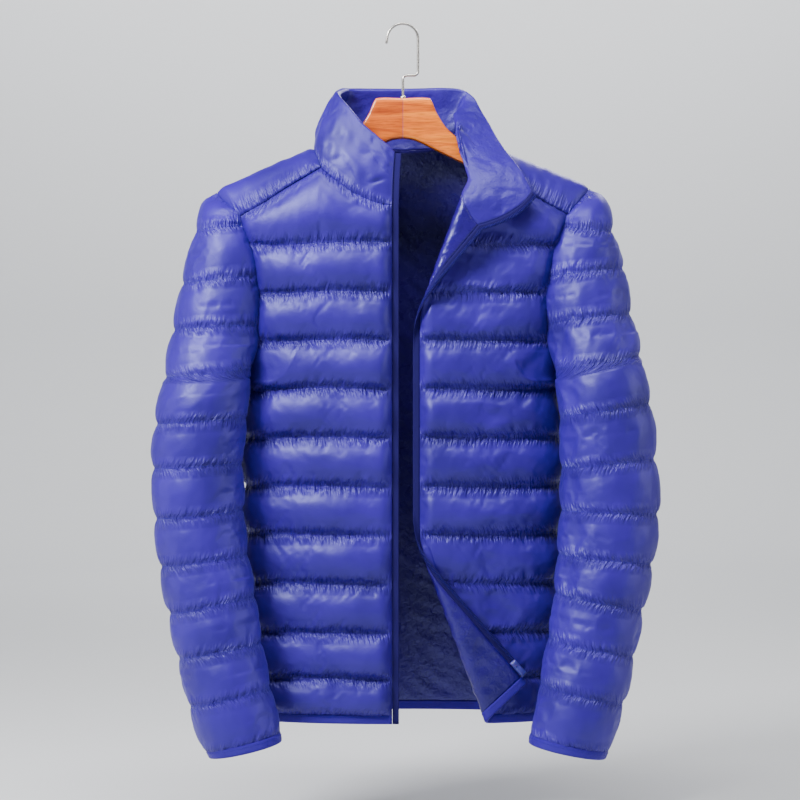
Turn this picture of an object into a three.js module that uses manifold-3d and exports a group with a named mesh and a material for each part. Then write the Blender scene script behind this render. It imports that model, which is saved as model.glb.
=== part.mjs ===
// A light puffer jacket, open at the front, on a wooden suit hanger with a steel hook.
// Millimetres. X runs to the viewer's right, the fronts face -Y and Z is up.
// The origin is the inside top of the hook, where a rail carries it.
// The wearer's right is at -X, the wearer's left at +X.
// Heights in the tables of the jacket and the wood are measured from a point HANG below the origin.
import * as THREE from "three";
import { mergeVertices } from "three/addons/utils/BufferGeometryUtils.js";
import Module from "manifold-3d";

// Cloth: walls are at their thinnest on a quilting line and at their thickest between two lines
const SEAM = 3.6;
const BODY_PUFF = 13;
const SLEEVE_PUFF = 8.2;
const SIDE_PUFF = 9.5;
const ARMPIT_PUFF = 4.6;
const YOKE_PUFF = 8;
const BACK_NECK_SHARE = 0.6;
const UNDER_LAPEL_PUFF = 8;
const LAPEL_PUFF = 5.5;
const BINDING = 4.2;
const TAPE = 2;
const GAP = 0.35;
const TAPE_GAP = 0.45;
const SLEEVE_GAP = 0.45;
const TRIM = 0.2;
const TRIM_TOLERANCE = 0.05;

// Body: flattened rings under a shoulder line, with an arched top
const BODY_DEPTH = 62;
const BODY_ROUND = 2.2;
const ARCH = 90;
const NECK_POINT = { x: 108, z: -148 };
const SHOULDER_SLOPE = 0.45;
const NECK_BLEND = 40;
const SIDES = {
  right: { sign: -1, lift: 0, edge: 13, tapeEdge: 5 },
  left: { sign: 1, lift: 5, edge: 20, tapeEdge: 12 },
};
const BODY_WIDTH = [
  { z: -845, half: 192 },
  { z: -700, half: 190 },
  { z: -540, half: 190 },
  { z: -437, half: 191 },
  { z: -428, half: 196 },
  { z: -337, half: 208 },
  { z: -262, half: 219 },
  { z: -230, half: 224 },
  { z: -190, half: 229 },
];

// Quilting lines of the body, top to bottom, and the shares of a channel where its rows lie
const BODY_LINES = [-262, -320.6, -378.6, -436.6, -495.3, -553.9, -612.5, -671.1, -730.3, -784.7, -830];
const CHANNEL_ROWS = [0, 1 / 3, 2 / 3];
const UNDERARM_ROWS = [0, 0.28, 0.55, 0.85];
const UNDERARM_CHANNEL = 3;
const NECK_STEPS = 6;
const SHOULDER_STEPS = 6;
const YOKE_STEPS = 5;
const UNDERARM_Z = -427.9;
const SAME_HEIGHT = 0.5;
const ARMPIT_Z = -432;
const ARMPIT_REACH = 45;
const SIDE_STEP = 12;
const SIDE_CELLS = 4;
const EDGE_CELLS = 2;
const EDGE_REACH = 22;
const HEM_Z = -839.5;

// Neckline and shoulder seams on the body, by distance from the middle
const NECK_FRONT = [
  { x: 0, z: -217 },
  { x: 22, z: -217 },
  { x: 40, z: -212 },
  { x: 64, z: -200 },
  { x: 86, z: -183 },
  { x: 98, z: -171 },
];
const NECK_BACK = [
  { x: 0, z: -140 },
  { x: 62, z: -139 },
  { x: 96, z: -144 },
];
const YOKE_FRONT = [
  { x: 98, z: -171 },
  { x: 136.6, z: -193.4 },
  { x: 172.9, z: -216.4 },
  { x: 199.5, z: -230 },
];
const YOKE_BACK = [
  { x: 96, z: -144 },
  { x: 130, z: -174 },
  { x: 170, z: -206 },
  { x: 203, z: -228 },
];
const NECK_HALFWAY_X = 106;
const SHOULDER_TIP_X = 226;
const ARMHOLE_FRONT = [
  { z: -428, x: 196 },
  { z: -418, x: 189 },
  { z: -398, x: 182 },
  { z: -365, x: 176 },
  { z: -325, x: 175 },
  { z: -285, x: 180 },
  { z: -252, x: 190 },
  { z: -230, x: 199.5 },
];
const ARMHOLE_BACK = [
  { z: -428, x: 196 },
  { z: -415, x: 191 },
  { z: -390, x: 187 },
  { z: -340, x: 184 },
  { z: -285, x: 188 },
  { z: -252, x: 195 },
  { z: -228, x: 203 },
];
const ARMHOLE_CENTRE = { x: 196, z: -312 };
// The column that leaves the foot of the yoke seam, further out where a corner folds back
const SHOULDER_COLUMN = [
  { z: -838, x: 140 },
  { z: -730, x: 112 },
  { z: -600, x: 98 },
  { z: -171, x: 98 },
];
const BACK_TOP_LINE = 0.52;
const ARMHOLE_WAY = new THREE.Vector3(0.25, 2, 1);

// Folds of the wearer's left front: it turns back over itself beyond each slanting line
const FOLD_SPAN = 30;
const UNDER_LAPEL = 60;
const LAPEL_BLEND = 50;
const LAPEL = { x: 79, z: -209, dx: 0.34, dz: 0.94, radius: 10 };
const CORNER = { x: 47, z: -671, dx: 0.352, dz: -0.936, radius: 10 };
const LAPEL_TOP_Z = -180;
const LAPEL_END_Z = -450;
const CORNER_START_Z = -560;
const CORNER_CHANNEL = 6;
const FOLD_SHARES = [1, 0.8, 0.6, 0.42, 0.31, 0.2, 0.1, 0];
const FOLD_LEAST = 24;

// Collar ribs from the middle of the back (0) to the front edge (1): points half way up and at the top
const COLLAR_RIGHT = [
  { at: 0, midX: 0, midY: 50, midZ: -104, topX: 0, topY: 45, topZ: -66, puff: 10 },
  { at: 0.22, midX: 62, midY: 41, midZ: -104, topX: 59, topY: 38, topZ: -67, puff: 10 },
  { at: 0.36, midX: 86, midY: 22, midZ: -109, topX: 72, topY: 22, topZ: -71, puff: 10 },
  { at: 0.44, midX: 93, midY: 0, midZ: -112, topX: 77, topY: 3, topZ: -79, puff: 10 },
  { at: 0.62, midX: 84, midY: -33, midZ: -137, topX: 66, topY: -20, topZ: -99, puff: 10 },
  { at: 0.79, midX: 57, midY: -50, midZ: -164, topX: 47, topY: -35, topZ: -124, puff: 10 },
  { at: 0.88, midX: 37, midY: -55, midZ: -176, topX: 31, topY: -41, topZ: -138, puff: 9 },
  { at: 1, midX: 12, midY: -58, midZ: -186, topX: 10, topY: -48, topZ: -154, puff: 6 },
];
const COLLAR_LEFT = [
  { at: 0, midX: 0, midY: 50, midZ: -104, topX: 0, topY: 45, topZ: -66, puff: 10 },
  { at: 0.22, midX: 62, midY: 40, midZ: -104, topX: 64, topY: 38, topZ: -66, puff: 9 },
  { at: 0.36, midX: 68, midY: 26, midZ: -98, topX: 86, topY: 30, topZ: -75, puff: 7 },
  { at: 0.44, midX: 63, midY: 8, midZ: -103, topX: 96, topY: 16, topZ: -94, puff: 6 },
  { at: 0.53, midX: 64, midY: -12, midZ: -114, topX: 105, topY: 6, topZ: -110, puff: 5 },
  { at: 0.62, midX: 67, midY: -28, midZ: -134, topX: 113, topY: -6, topZ: -127, puff: 5 },
  { at: 0.7, midX: 76, midY: -44, midZ: -159, topX: 123, topY: -24, topZ: -146, puff: 5 },
  { at: 0.79, midX: 98, midY: -62, midZ: -182, topX: 133, topY: -42, topZ: -162, puff: 6 },
  { at: 0.88, midX: 110, midY: -72, midZ: -203, topX: 144, topY: -54, topZ: -180, puff: 7 },
  { at: 1, midX: 129, midY: -76, midZ: -226, topX: 154, topY: -64, topZ: -202, puff: 5 },
];
const COLLAR_ROWS = 7;
const COLLAR_SWELL = 0.9;
const PIN_TOP = -806;
const PIN_LOW = -829;
const PIN = 3.5;
const COLLAR_TAPE_OUT = { right: { x: 1, y: 0, z: 0 }, left: { x: 0.68, y: 0, z: -0.73 } };

// Sleeves: one row for each quilting line (0 is the top of the armhole, 12 the edge of the cuff).
// Outer and inner are the ends of the line as seen from the front, middleY and depth place it.
const SLEEVE_RIGHT = [
  { line: 0, outerX: 228, outerZ: -199, innerX: 172, innerZ: -214, middleY: 0, depth: 31 },
  { line: 0.33, outerX: 243, outerZ: -211, innerX: 170, innerZ: -223, middleY: -1, depth: 37 },
  { line: 0.66, outerX: 249, outerZ: -228, innerX: 170, innerZ: -232, middleY: -3, depth: 41 },
  { line: 1, outerX: 252.6, outerZ: -246, innerX: 170, innerZ: -241, middleY: -5, depth: 44 },
  { line: 2, outerX: 267.7, outerZ: -310, innerX: 174, innerZ: -304, middleY: -11, depth: 50 },
  { line: 3, outerX: 277.4, outerZ: -367, innerX: 180, innerZ: -360, middleY: -22, depth: 52 },
  { line: 4, outerX: 285.4, outerZ: -424, innerX: 184, innerZ: -416, middleY: -42, depth: 52 },
  { line: 5, outerX: 295, outerZ: -481, innerX: 189, innerZ: -473, middleY: -54, depth: 51 },
  { line: 6, outerX: 298, outerZ: -533, innerX: 194, innerZ: -528, middleY: -58, depth: 50 },
  { line: 7, outerX: 295, outerZ: -594, innerX: 192, innerZ: -583, middleY: -63, depth: 50 },
  { line: 8, outerX: 288, outerZ: -648, innerX: 186.5, innerZ: -636, middleY: -69, depth: 49 },
  { line: 9, outerX: 276.7, outerZ: -704, innerX: 177.7, innerZ: -685, middleY: -78, depth: 48 },
  { line: 10, outerX: 265, outerZ: -755, innerX: 169, innerZ: -737.5, middleY: -88, depth: 47 },
  { line: 11, outerX: 251, outerZ: -810, innerX: 157.5, innerZ: -790, middleY: -99, depth: 45 },
  { line: 12, outerX: 231, outerZ: -863, innerX: 145, innerZ: -844, middleY: -106, depth: 40 },
];
const SLEEVE_LEFT = [
  { line: 0, outerX: 228, outerZ: -195, innerX: 172, innerZ: -212, middleY: 0, depth: 31 },
  { line: 0.33, outerX: 243, outerZ: -208, innerX: 170, innerZ: -224, middleY: -1, depth: 37 },
  { line: 0.66, outerX: 250, outerZ: -226, innerX: 170, innerZ: -236, middleY: -3, depth: 41 },
  { line: 1, outerX: 255.2, outerZ: -245, innerX: 170, innerZ: -250, middleY: -5, depth: 44 },
  { line: 2, outerX: 267.8, outerZ: -291, innerX: 174, innerZ: -306, middleY: -11, depth: 50 },
  { line: 3, outerX: 275.1, outerZ: -345, innerX: 180, innerZ: -360, middleY: -22, depth: 52 },
  { line: 4, outerX: 284.5, outerZ: -399, innerX: 184, innerZ: -417, middleY: -42, depth: 52 },
  { line: 5, outerX: 295.2, outerZ: -456, innerX: 189, innerZ: -470, middleY: -54, depth: 51 },
  { line: 6, outerX: 300.5, outerZ: -522, innerX: 191, innerZ: -531.5, middleY: -58, depth: 50 },
  { line: 7, outerX: 303.4, outerZ: -586.5, innerX: 190.6, innerZ: -583, middleY: -63, depth: 50 },
  { line: 8, outerX: 295.5, outerZ: -646, innerX: 186.6, innerZ: -634, middleY: -69, depth: 50 },
  { line: 9, outerX: 283.8, outerZ: -700, innerX: 182, innerZ: -680, middleY: -78, depth: 49 },
  { line: 10, outerX: 272.2, outerZ: -754, innerX: 173.5, innerZ: -731.5, middleY: -88, depth: 47 },
  { line: 11, outerX: 259.2, outerZ: -808.5, innerX: 163, innerZ: -785, middleY: -99, depth: 45 },
  { line: 12, outerX: 240.6, outerZ: -864, innerX: 150, innerZ: -846, middleY: -106, depth: 40 },
];
// Rows of the sleeve cap end on the armhole at these heights, for each place along the sleeve
const CAP_ROWS = [
  { line: 0, endZ: -230 },
  { line: 0.33, endZ: -233.6 },
  { line: 0.66, endZ: -237.1 },
  { line: 1, endZ: -240.7 },
  { line: 1.25, endZ: -251.3 },
  { line: 1.45, endZ: -262 },
  { line: 1.72, endZ: -281.5 },
  { line: 2, endZ: -301.1 },
  { line: 2.35, endZ: -320.6 },
  { line: 2.68, endZ: -339.9 },
  { line: 3, endZ: -359.3 },
  { line: 3.35, endZ: -378.6 },
  { line: 3.68, endZ: -394.8 },
  { line: 4, endZ: -410.5 },
];
const UNDERARM_LINE = 4.22;
const TUBE_ROWS = [4.5, 4.76];
const SLEEVE_LINES = 12;
const SEAM_FADE = 1 / 2.6;
const UNDERARM_FADE = 0.9;
const CUFF = 9.5;
const SLEEVE_COLUMNS = 24;
const INSEAM_ANGLE = 138;
const SLEEVE_EDGE_REACH = 34;
const CAP_RISE = 0.3;
const SLEEVE_INSIDE_PUFF = 6;
const SLEEVE_CLEAR = 24;
const SLEEVE_CLEAR_FROM = 3.3;
const SLEEVE_CLEAR_REACH = 28;
const SLEEVE_ROUND = 330;
const SLEEVE_CLEAR_TO = 11;

// Hanger
const HANG = 9.5;
const WOOD_TOP = -81;
const WOOD_DEPTH = 17;
const WOOD_UPPER = [
  { x: 32.5, z: -81 },
  { x: 42, z: -100 },
  { x: 54, z: -118 },
  { x: 80, z: -139.5 },
  { x: 119, z: -161.5 },
  { x: 165, z: -178.3 },
  { x: 188, z: -187.9 },
];
const WOOD_LOWER = [
  { x: 0, z: -130 },
  { x: 15, z: -132.5 },
  { x: 45, z: -147 },
  { x: 74, z: -161 },
  { x: 119, z: -184 },
  { x: 165, z: -203 },
  { x: 182, z: -208 },
];
const WOOD_END = { x: 195, z: -200 };
const WOOD_FORWARD = 5;
const WOOD_ARM_X = 60;
const WOOD_CORNER = 3;
const WIRE = 3.2;
const HOOK_BEND = 19;
const HOOK_SHANK_X = 18.6;
const HOOK_JOG_Z = -62;
const HOOK_TIP = { x: -20.2, z: -23 };
const HOOK_TURN = 180;
const HOOK_STEPS = 52;
const HOOK_JOG = 5;
const FERRULE = { radius: 3.4, height: 4 };

const COLOURS = {
  nylon: { color: 0x2026b8, roughness: 0.42, metalness: 0 },
  binding: { color: 0x2427d8, roughness: 0.4, metalness: 0 },
  tape: { color: 0x1c1a86, roughness: 0.7, metalness: 0 },
  plastic: { color: 0x9fb2ea, roughness: 0.35, metalness: 0 },
  wood: { color: 0xb3480f, roughness: 0.3, metalness: 0 },
  steel: { color: 0xb9b6ae, roughness: 0.25, metalness: 1 },
};

const lerp = THREE.MathUtils.lerp;
const clamp = THREE.MathUtils.clamp;
const vec = (x, y, z) => new THREE.Vector3(x, y, z);

// Reads a column of a table at any key between its rows, on a smooth curve through them.
function valueAt(table, key, column, at) {
  const last = table.length - 1;
  const rising = table[last][key] > table[0][key];
  const k = (i) => (rising ? table[i][key] : -table[i][key]);
  const want = clamp(rising ? at : -at, k(0), k(last));
  let i = 0;
  while (i < last - 1 && want > k(i + 1)) i++;
  const slope = (j) => {
    const a = Math.max(j - 1, 0);
    const b = Math.min(j + 1, last);
    return (table[b][column] - table[a][column]) / (k(b) - k(a));
  };
  const width = k(i + 1) - k(i);
  const t = (want - k(i)) / width;
  const t2 = t * t;
  const t3 = t2 * t;
  const from = table[i][column] * (2 * t3 - 3 * t2 + 1) + slope(i) * width * (t3 - 2 * t2 + t);
  const to = table[i + 1][column] * (3 * t2 - 2 * t3) + slope(i + 1) * width * (t3 - t2);
  return from + to;
}

// The body's inside surface

const bodyHalf = (z) => valueAt(BODY_WIDTH, "z", "half", z);

const shoulderLift = (side, x) =>
  side.lift * clamp((x - NECK_POINT.x) / (SHOULDER_TIP_X - NECK_POINT.x), 0, 1);

function ridge(side, x) {
  const run = Math.hypot(x, NECK_BLEND) - Math.hypot(NECK_POINT.x, NECK_BLEND);
  return NECK_POINT.z - SHOULDER_SLOPE * run + shoulderLift(side, x);
}

const sideDepth = (x, z) =>
  BODY_DEPTH * Math.pow(Math.max(0, 1 - Math.pow(Math.min(1, x / bodyHalf(z)), BODY_ROUND)), 1 / BODY_ROUND);

// How far the surface lies before or behind the middle plane.
function depthAt(side, x, z) {
  const t = clamp((ridge(side, x) - z) / ARCH, 0, 1);
  return sideDepth(x, z) * Math.sqrt(1 - (1 - t) * (1 - t));
}

const bodyPoint = (side, x, z, face) => vec(side.sign * x, face * depthAt(side, x, z), z);

// A point over the shoulder, by its distance from the middle and its angle round the arch.
function archPoint(side, x, bend) {
  const z = ridge(side, x) - ARCH * (1 - Math.cos(bend));
  return vec(side.sign * x, sideDepth(x, z) * Math.sin(bend), z);
}

const archBend = (side, x, z, face) =>
  face * Math.acos(clamp(1 - (ridge(side, x) - z) / ARCH, 0, 1));

const seamLift = (side, x, z) => z + shoulderLift(side, x);
const onArmhole = (z) => z > UNDERARM_Z - SAME_HEIGHT;
const armholeX = (face, z) => valueAt(face < 0 ? ARMHOLE_FRONT : ARMHOLE_BACK, "z", "x", z);

function panelTop(side, face, x) {
  const neck = face < 0 ? NECK_FRONT : NECK_BACK;
  const yoke = face < 0 ? YOKE_FRONT : YOKE_BACK;
  const table = x <= yoke[0].x ? neck : yoke;
  return seamLift(side, x, valueAt(table, "x", "z", x));
}

// The folds of the left front

function foldOf(z) {
  if (z > LAPEL_END_Z) return LAPEL;
  return z < CORNER_START_Z ? CORNER : null;
}

const foldStart = (fold, z) => fold.x + ((z - fold.z) * fold.dx) / fold.dz;

// Turns a flat point of the left front round its fold line.
function foldedPoint(side, x, z, face) {
  const fold = side === SIDES.left && face < 0 ? foldOf(z) : null;
  if (!fold) return bodyPoint(side, x, z, face);
  const along = (x - fold.x) * fold.dx + (z - fold.z) * fold.dz;
  const beyond = -(x - fold.x) * Math.abs(fold.dz) + (z - fold.z) * fold.dx * Math.sign(fold.dz);
  if (beyond <= 0) return bodyPoint(side, x, z, face);
  const turn = Math.min(beyond / fold.radius, Math.PI);
  const flat = Math.max(0, beyond - Math.PI * fold.radius);
  const out = fold.radius * Math.sin(turn) - flat;
  const lift = fold.radius * (1 - Math.cos(turn));
  const newX = fold.x + along * fold.dx - out * Math.abs(fold.dz);
  const newZ = fold.z + along * fold.dz + out * fold.dx * Math.sign(fold.dz);
  const point = bodyPoint(side, newX, newZ, face);
  point.y -= lift;
  return point;
}

// Rows of a panel: each knows its channel and its share of it

function panelRows(face) {
  const rows = [];
  if (face > 0) CHANNEL_ROWS.forEach((share) => rows.push({ channel: -1, share }));
  BODY_LINES.forEach((z, channel) => {
    const shares = channel === UNDERARM_CHANNEL ? UNDERARM_ROWS : CHANNEL_ROWS;
    shares.forEach((share) => rows.push({ channel, share }));
  });
  rows.push({ channel: BODY_LINES.length, share: 0 });
  return rows;
}

// Height of a row on the column whose top lies at z = top.
function rowZ(row, top, face) {
  const first = face > 0 ? lerp(top, BODY_LINES[0], BACK_TOP_LINE) : top;
  if (row.channel === -1) return lerp(top, first, row.share);
  const from = row.channel === 0 ? first : BODY_LINES[row.channel - 1];
  if (row.channel === BODY_LINES.length) return BODY_LINES[BODY_LINES.length - 1];
  return lerp(from, BODY_LINES[row.channel], row.share);
}

// The end of a row: on the armhole above the underarm, on the side seam below it.
function rowEnd(side, face, row) {
  const yoke = face < 0 ? YOKE_FRONT : YOKE_BACK;
  const corner = yoke[yoke.length - 1];
  const z = rowZ(row, seamLift(side, corner.x, corner.z), face);
  const first = row.share === 0 && row.channel === (face < 0 ? 0 : -1);
  if (first) return { z, x: corner.x };
  return { z, x: onArmhole(z) ? armholeX(face, z) : bodyHalf(z) };
}

// Flat places of the columns along one row, from the front edge or the middle outwards.
function rowPlaces(side, face, row) {
  const end = rowEnd(side, face, row);
  const top = face < 0 ? YOKE_FRONT : YOKE_BACK;
  const corner = top[top.length - 1];
  const folding = face < 0 && side === SIDES.left;
  const column = folding ? valueAt(SHOULDER_COLUMN, "z", "x", end.z) : top[0].x;
  const place = (x, topX) => ({ x, z: rowZ(row, panelTop(side, face, topX), face) });
  const edge = face < 0 ? side.edge : 0;
  const neck = folding ? foldColumns(side, row, end.z, column) : evenColumns(edge, column);
  const shoulder = roundColumns(column, end.x, bodyHalf(end.z)).map((x) =>
    place(x, lerp(top[0].x, corner.x, (x - column) / (end.x - column))),
  );
  return [...neck.map((x) => place(x, x)), ...shoulder];
}

const steps = (count) => Array.from({ length: count }, (_, i) => i / count);
const evenColumns = (edge, column) => steps(NECK_STEPS).map((t) => lerp(edge, column, t));

// Columns that crowd round the fold of the turned-back front.
function foldColumns(side, row, endZ, column) {
  const fold = foldOf(endZ);
  const foldZ = endZ < BODY_LINES[0] ? endZ : lerp(LAPEL_TOP_Z, BODY_LINES[0], row.share);
  const start = fold ? foldStart(fold, foldZ) : side.edge;
  const width = Math.max(FOLD_LEAST, start - side.edge);
  const columns = FOLD_SHARES.map((share) => side.edge + width * (1 - share));
  return [...columns, (side.edge + width + column) / 2];
}

// Columns from the foot of the yoke seam to the side, at even steps round the body's section.
function roundColumns(column, endX, half) {
  const power = BODY_ROUND / 2;
  const angle = (x) => Math.asin(Math.pow(Math.min(1, x / half), power));
  const [from, to] = [angle(column), angle(endX)];
  return [...steps(SHOULDER_STEPS).map((t) => half * Math.pow(Math.sin(lerp(from, to, t)), 1 / power)), endX];
}

// Grids: rows of points on the inside of the cloth, with the way its outside faces

function naturalNormals(points, outward, closedFrom = Infinity) {
  const last = points[0].length - 1;
  return points.map((row, r) =>
    row.map((_, c) => {
      const closed = r >= closedFrom;
      const before = closed && c === 0 ? row[last - 1] : row[Math.max(c - 1, 0)];
      const after = closed && c === last ? row[1] : row[Math.min(c + 1, last)];
      const above = points[Math.max(r - 1, 0)][c];
      const below = points[Math.min(r + 1, points.length - 1)][c];
      const across = after.clone().sub(before);
      const down = below.clone().sub(above);
      return across.cross(down).multiplyScalar(outward).normalize();
    }),
  );
}

function shareNormal(...places) {
  const sum = vec(0, 0, 0);
  places.forEach(({ grid, r, c }) => sum.add(grid.normals[r][c]));
  sum.normalize();
  places.forEach(({ grid, r, c }) => grid.normals[r][c].copy(sum));
}

// Moves a row or column of a grid off its neighbour by the seam gap, along the cloth.
function backOff(grid, r, c, towards) {
  const point = grid.points[r][c];
  const next = grid.points[towards.r][towards.c];
  const step = next.clone().sub(point);
  const normal = grid.normals[r][c];
  step.addScaledVector(normal, -step.dot(normal)).setLength(GAP);
  point.add(step);
}

const allRows = (grid) => grid.points.map((_, r) => r);

// A closed solid from a grid: a plain inside on the kept rows, the raised outside on all of them.
function clothSolid(grid, thickness, kept) {
  const { points, normals, closedFrom = Infinity } = grid;
  const rows = points.length;
  const last = points[0].length - 1;
  const outer = points.map((row, r) =>
    row.map((p, c) => p.clone().addScaledVector(normals[r][c], thickness(r, c))),
  );
  const position = [];
  const place = (layer) =>
    layer.map((row, r) => {
      const ids = row.map((p) => position.push(p.x, p.y, p.z) / 3 - 1);
      if (r >= closedFrom) ids[last] = ids[0];
      return ids;
    });
  const o = place(outer);
  const i = place(points);
  const index = [];
  const quad = (a, b, c, d) => index.push(a, b, c, a, c, d);
  // An edge wall takes its diagonal from the lie of its inner corners, so two neighbours agree.
  const rank = (id) => position[3 * id + 2] + 0.5 * position[3 * id + 1] + 0.2 * Math.abs(position[3 * id]);
  const wall = (outA, outB, inB, inA) => {
    if (rank(inA) > rank(inB)) quad(outB, inB, inA, outA);
    else quad(outA, outB, inB, inA);
  };
  for (let c = 0; c < last; c++) {
    for (let r = 0; r < rows - 1; r++) quad(o[r][c], o[r][c + 1], o[r + 1][c + 1], o[r + 1][c]);
    for (let k = 0; k < kept.length - 1; k++) {
      const [a, b] = [kept[k], kept[k + 1]];
      quad(i[a][c], i[b][c], i[b][c + 1], i[a][c + 1]);
    }
    wall(o[0][c + 1], o[0][c], i[0][c], i[0][c + 1]);
    const e = rows - 1;
    wall(o[e][c], o[e][c + 1], i[e][c + 1], i[e][c]);
  }
  for (let k = 0; k < kept.length - 1; k++) {
    const [a, b] = [kept[k], kept[k + 1]];
    if (a >= closedFrom) break;
    if (b === a + 1) {
      wall(o[a][0], o[b][0], i[b][0], i[a][0]);
      wall(o[b][last], o[a][last], i[a][last], i[b][last]);
      continue;
    }
    for (let r = a; r < b; r++) {
      index.push(i[a][0], o[r][0], o[r + 1][0]);
      index.push(i[a][last], o[r + 1][last], o[r][last]);
    }
    index.push(i[a][0], o[b][0], i[b][0]);
    index.push(i[a][last], i[b][last], o[b][last]);
  }
  const geometry = new THREE.BufferGeometry();
  geometry.setAttribute("position", new THREE.Float32BufferAttribute(position, 3));
  geometry.setIndex(index);
  return facingOut(geometry);
}

// Turns a closed geometry's faces outwards.
function facingOut(geometry) {
  const p = geometry.attributes.position;
  const index = geometry.index.array;
  const [a, b, c] = [vec(0, 0, 0), vec(0, 0, 0), vec(0, 0, 0)];
  let volume = 0;
  for (let k = 0; k < index.length; k += 3) {
    a.fromBufferAttribute(p, index[k]);
    b.fromBufferAttribute(p, index[k + 1]);
    c.fromBufferAttribute(p, index[k + 2]);
    volume += a.dot(b.cross(c));
  }
  if (volume < 0) {
    for (let k = 0; k < index.length; k += 3) [index[k + 1], index[k + 2]] = [index[k + 2], index[k + 1]];
  }
  return geometry;
}

// 1 where sleeve and body meet under the arm, fading to 0 a hand's breadth above and below.
const armpit = (z) => clamp(1.4 - Math.abs(z - ARMPIT_Z) / ARMPIT_REACH, 0, 1);

const swell = (channelShare) => Math.pow(Math.sin(Math.PI * clamp(channelShare, 0, 1)), 0.7);

// Rises from 0 at an edge to 1 a little way into the cloth.
const settle = (distance, reach) => {
  const t = clamp(distance / reach, 0, 1);
  return t * (2 - t);
};

// Fronts and back

function frontGrid(side) {
  const rows = panelRows(-1);
  const places = rows.map((row) => rowPlaces(side, -1, row));
  const points = places.map((row) => row.map(({ x, z }) => foldedPoint(side, x, z, -1)));
  return { rows, places, points, normals: naturalNormals(points, -side.sign) };
}

function backGrid() {
  const rows = panelRows(1);
  const places = rows.map((row) => {
    const left = rowPlaces(SIDES.left, 1, row).map((p) => ({ ...p, side: SIDES.left }));
    const right = rowPlaces(SIDES.right, 1, row).map((p) => ({ ...p, side: SIDES.right }));
    return [...right.reverse(), ...left.slice(1)];
  });
  const points = places.map((row) => row.map(({ side, x, z }) => bodyPoint(side, x, z, 1)));
  return { rows, places, points, normals: naturalNormals(points, 1) };
}

// Thickness of a panel: quilted between its lines, thin at its edges and where it folds.
function panelThickness(grid, side, middle) {
  const last = grid.points[0].length - 1;
  return (r, c) => {
    const row = grid.rows[r];
    const { x, z } = grid.places[r][c];
    if (row.share === 0) return SEAM;
    const fromSide = middle ? Math.min(c, last - c) : last - c;
    const edgeSpace = Math.min(middle ? 100 : x - side.edge, fromSide * SIDE_STEP);
    let puff = lerp(SIDE_PUFF, BODY_PUFF, settle(fromSide, SIDE_CELLS));
    puff = lerp(puff, ARMPIT_PUFF, armpit(z) * clamp(1 - (fromSide - 1) / 3, 0, 1));
    if (middle && row.channel < 0) puff *= BACK_NECK_SHARE;
    if (!middle && side === SIDES.left && foldOf(z)) {
      const start = foldStart(foldOf(z), z);
      const folds = clamp((start - side.edge) / FOLD_SPAN, 0, 1);
      const near = lerp(LAPEL_PUFF, UNDER_LAPEL_PUFF, clamp((x - start) / FOLD_SPAN, 0, 1));
      const covered = lerp(near, BODY_PUFF, clamp((x - start - UNDER_LAPEL) / LAPEL_BLEND, 0, 1));
      puff = lerp(puff, Math.min(puff, covered), folds);
    }
    return SEAM + (puff - SEAM) * swell(row.share) * settle(edgeSpace, EDGE_REACH);
  };
}

// Inside rows: all of them beside the armhole and a turned corner, else only the quilting lines.
const keptRows = (grid, foldsLow) =>
  allRows(grid).filter((r) => {
    const { channel, share } = grid.rows[r];
    return share === 0 || channel <= UNDERARM_CHANNEL || (foldsLow && channel > CORNER_CHANNEL);
  });

// Yokes: saddles over the shoulder from the front seam to the back seam

function yokeGrid(side) {
  const front = rowPlaces(side, -1, panelRows(-1)[0]).slice(-SHOULDER_STEPS - 1);
  const back = rowPlaces(side, 1, panelRows(1)[0]).slice(-SHOULDER_STEPS - 1);
  const points = [];
  for (let r = 0; r <= YOKE_STEPS; r++) {
    const t = r / YOKE_STEPS;
    points.push(
      front.map((f, c) => {
        const b = back[c];
        const bendFront = archBend(side, f.x, f.z, -1);
        const bendBack = archBend(side, b.x, b.z, 1);
        const bend = lerp(bendFront, bendBack, t);
        const bulge = bend < 0 ? 1 - bend / bendFront : 1 - bend / bendBack;
        const share = c / SHOULDER_STEPS;
        const halfway = lerp(NECK_HALFWAY_X, SHOULDER_TIP_X, share);
        const straight = bend < 0 ? f.x : b.x;
        return archPoint(side, lerp(straight, halfway, bulge * (2 - bulge)), bend);
      }),
    );
  }
  return { points, normals: naturalNormals(points, side.sign) };
}

// Collar: columns continue those of the fronts, the yokes and the back

function neckline(fronts, yokes, back) {
  const ring = [];
  const add = (grid, r, c) => ring.push({ grid, r, c });
  for (let c = 0; c <= NECK_STEPS; c++) add(fronts.right, 0, c);
  for (let r = 1; r < YOKE_STEPS; r++) add(yokes.right, r, 0);
  for (let c = SHOULDER_STEPS; c <= SHOULDER_STEPS + 2 * NECK_STEPS; c++) add(back, 0, c);
  for (let r = YOKE_STEPS - 1; r > 0; r--) add(yokes.left, r, 0);
  for (let c = fronts.left.points[0].length - 1 - SHOULDER_STEPS; c >= 0; c--) add(fronts.left, 0, c);
  return ring;
}

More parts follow.
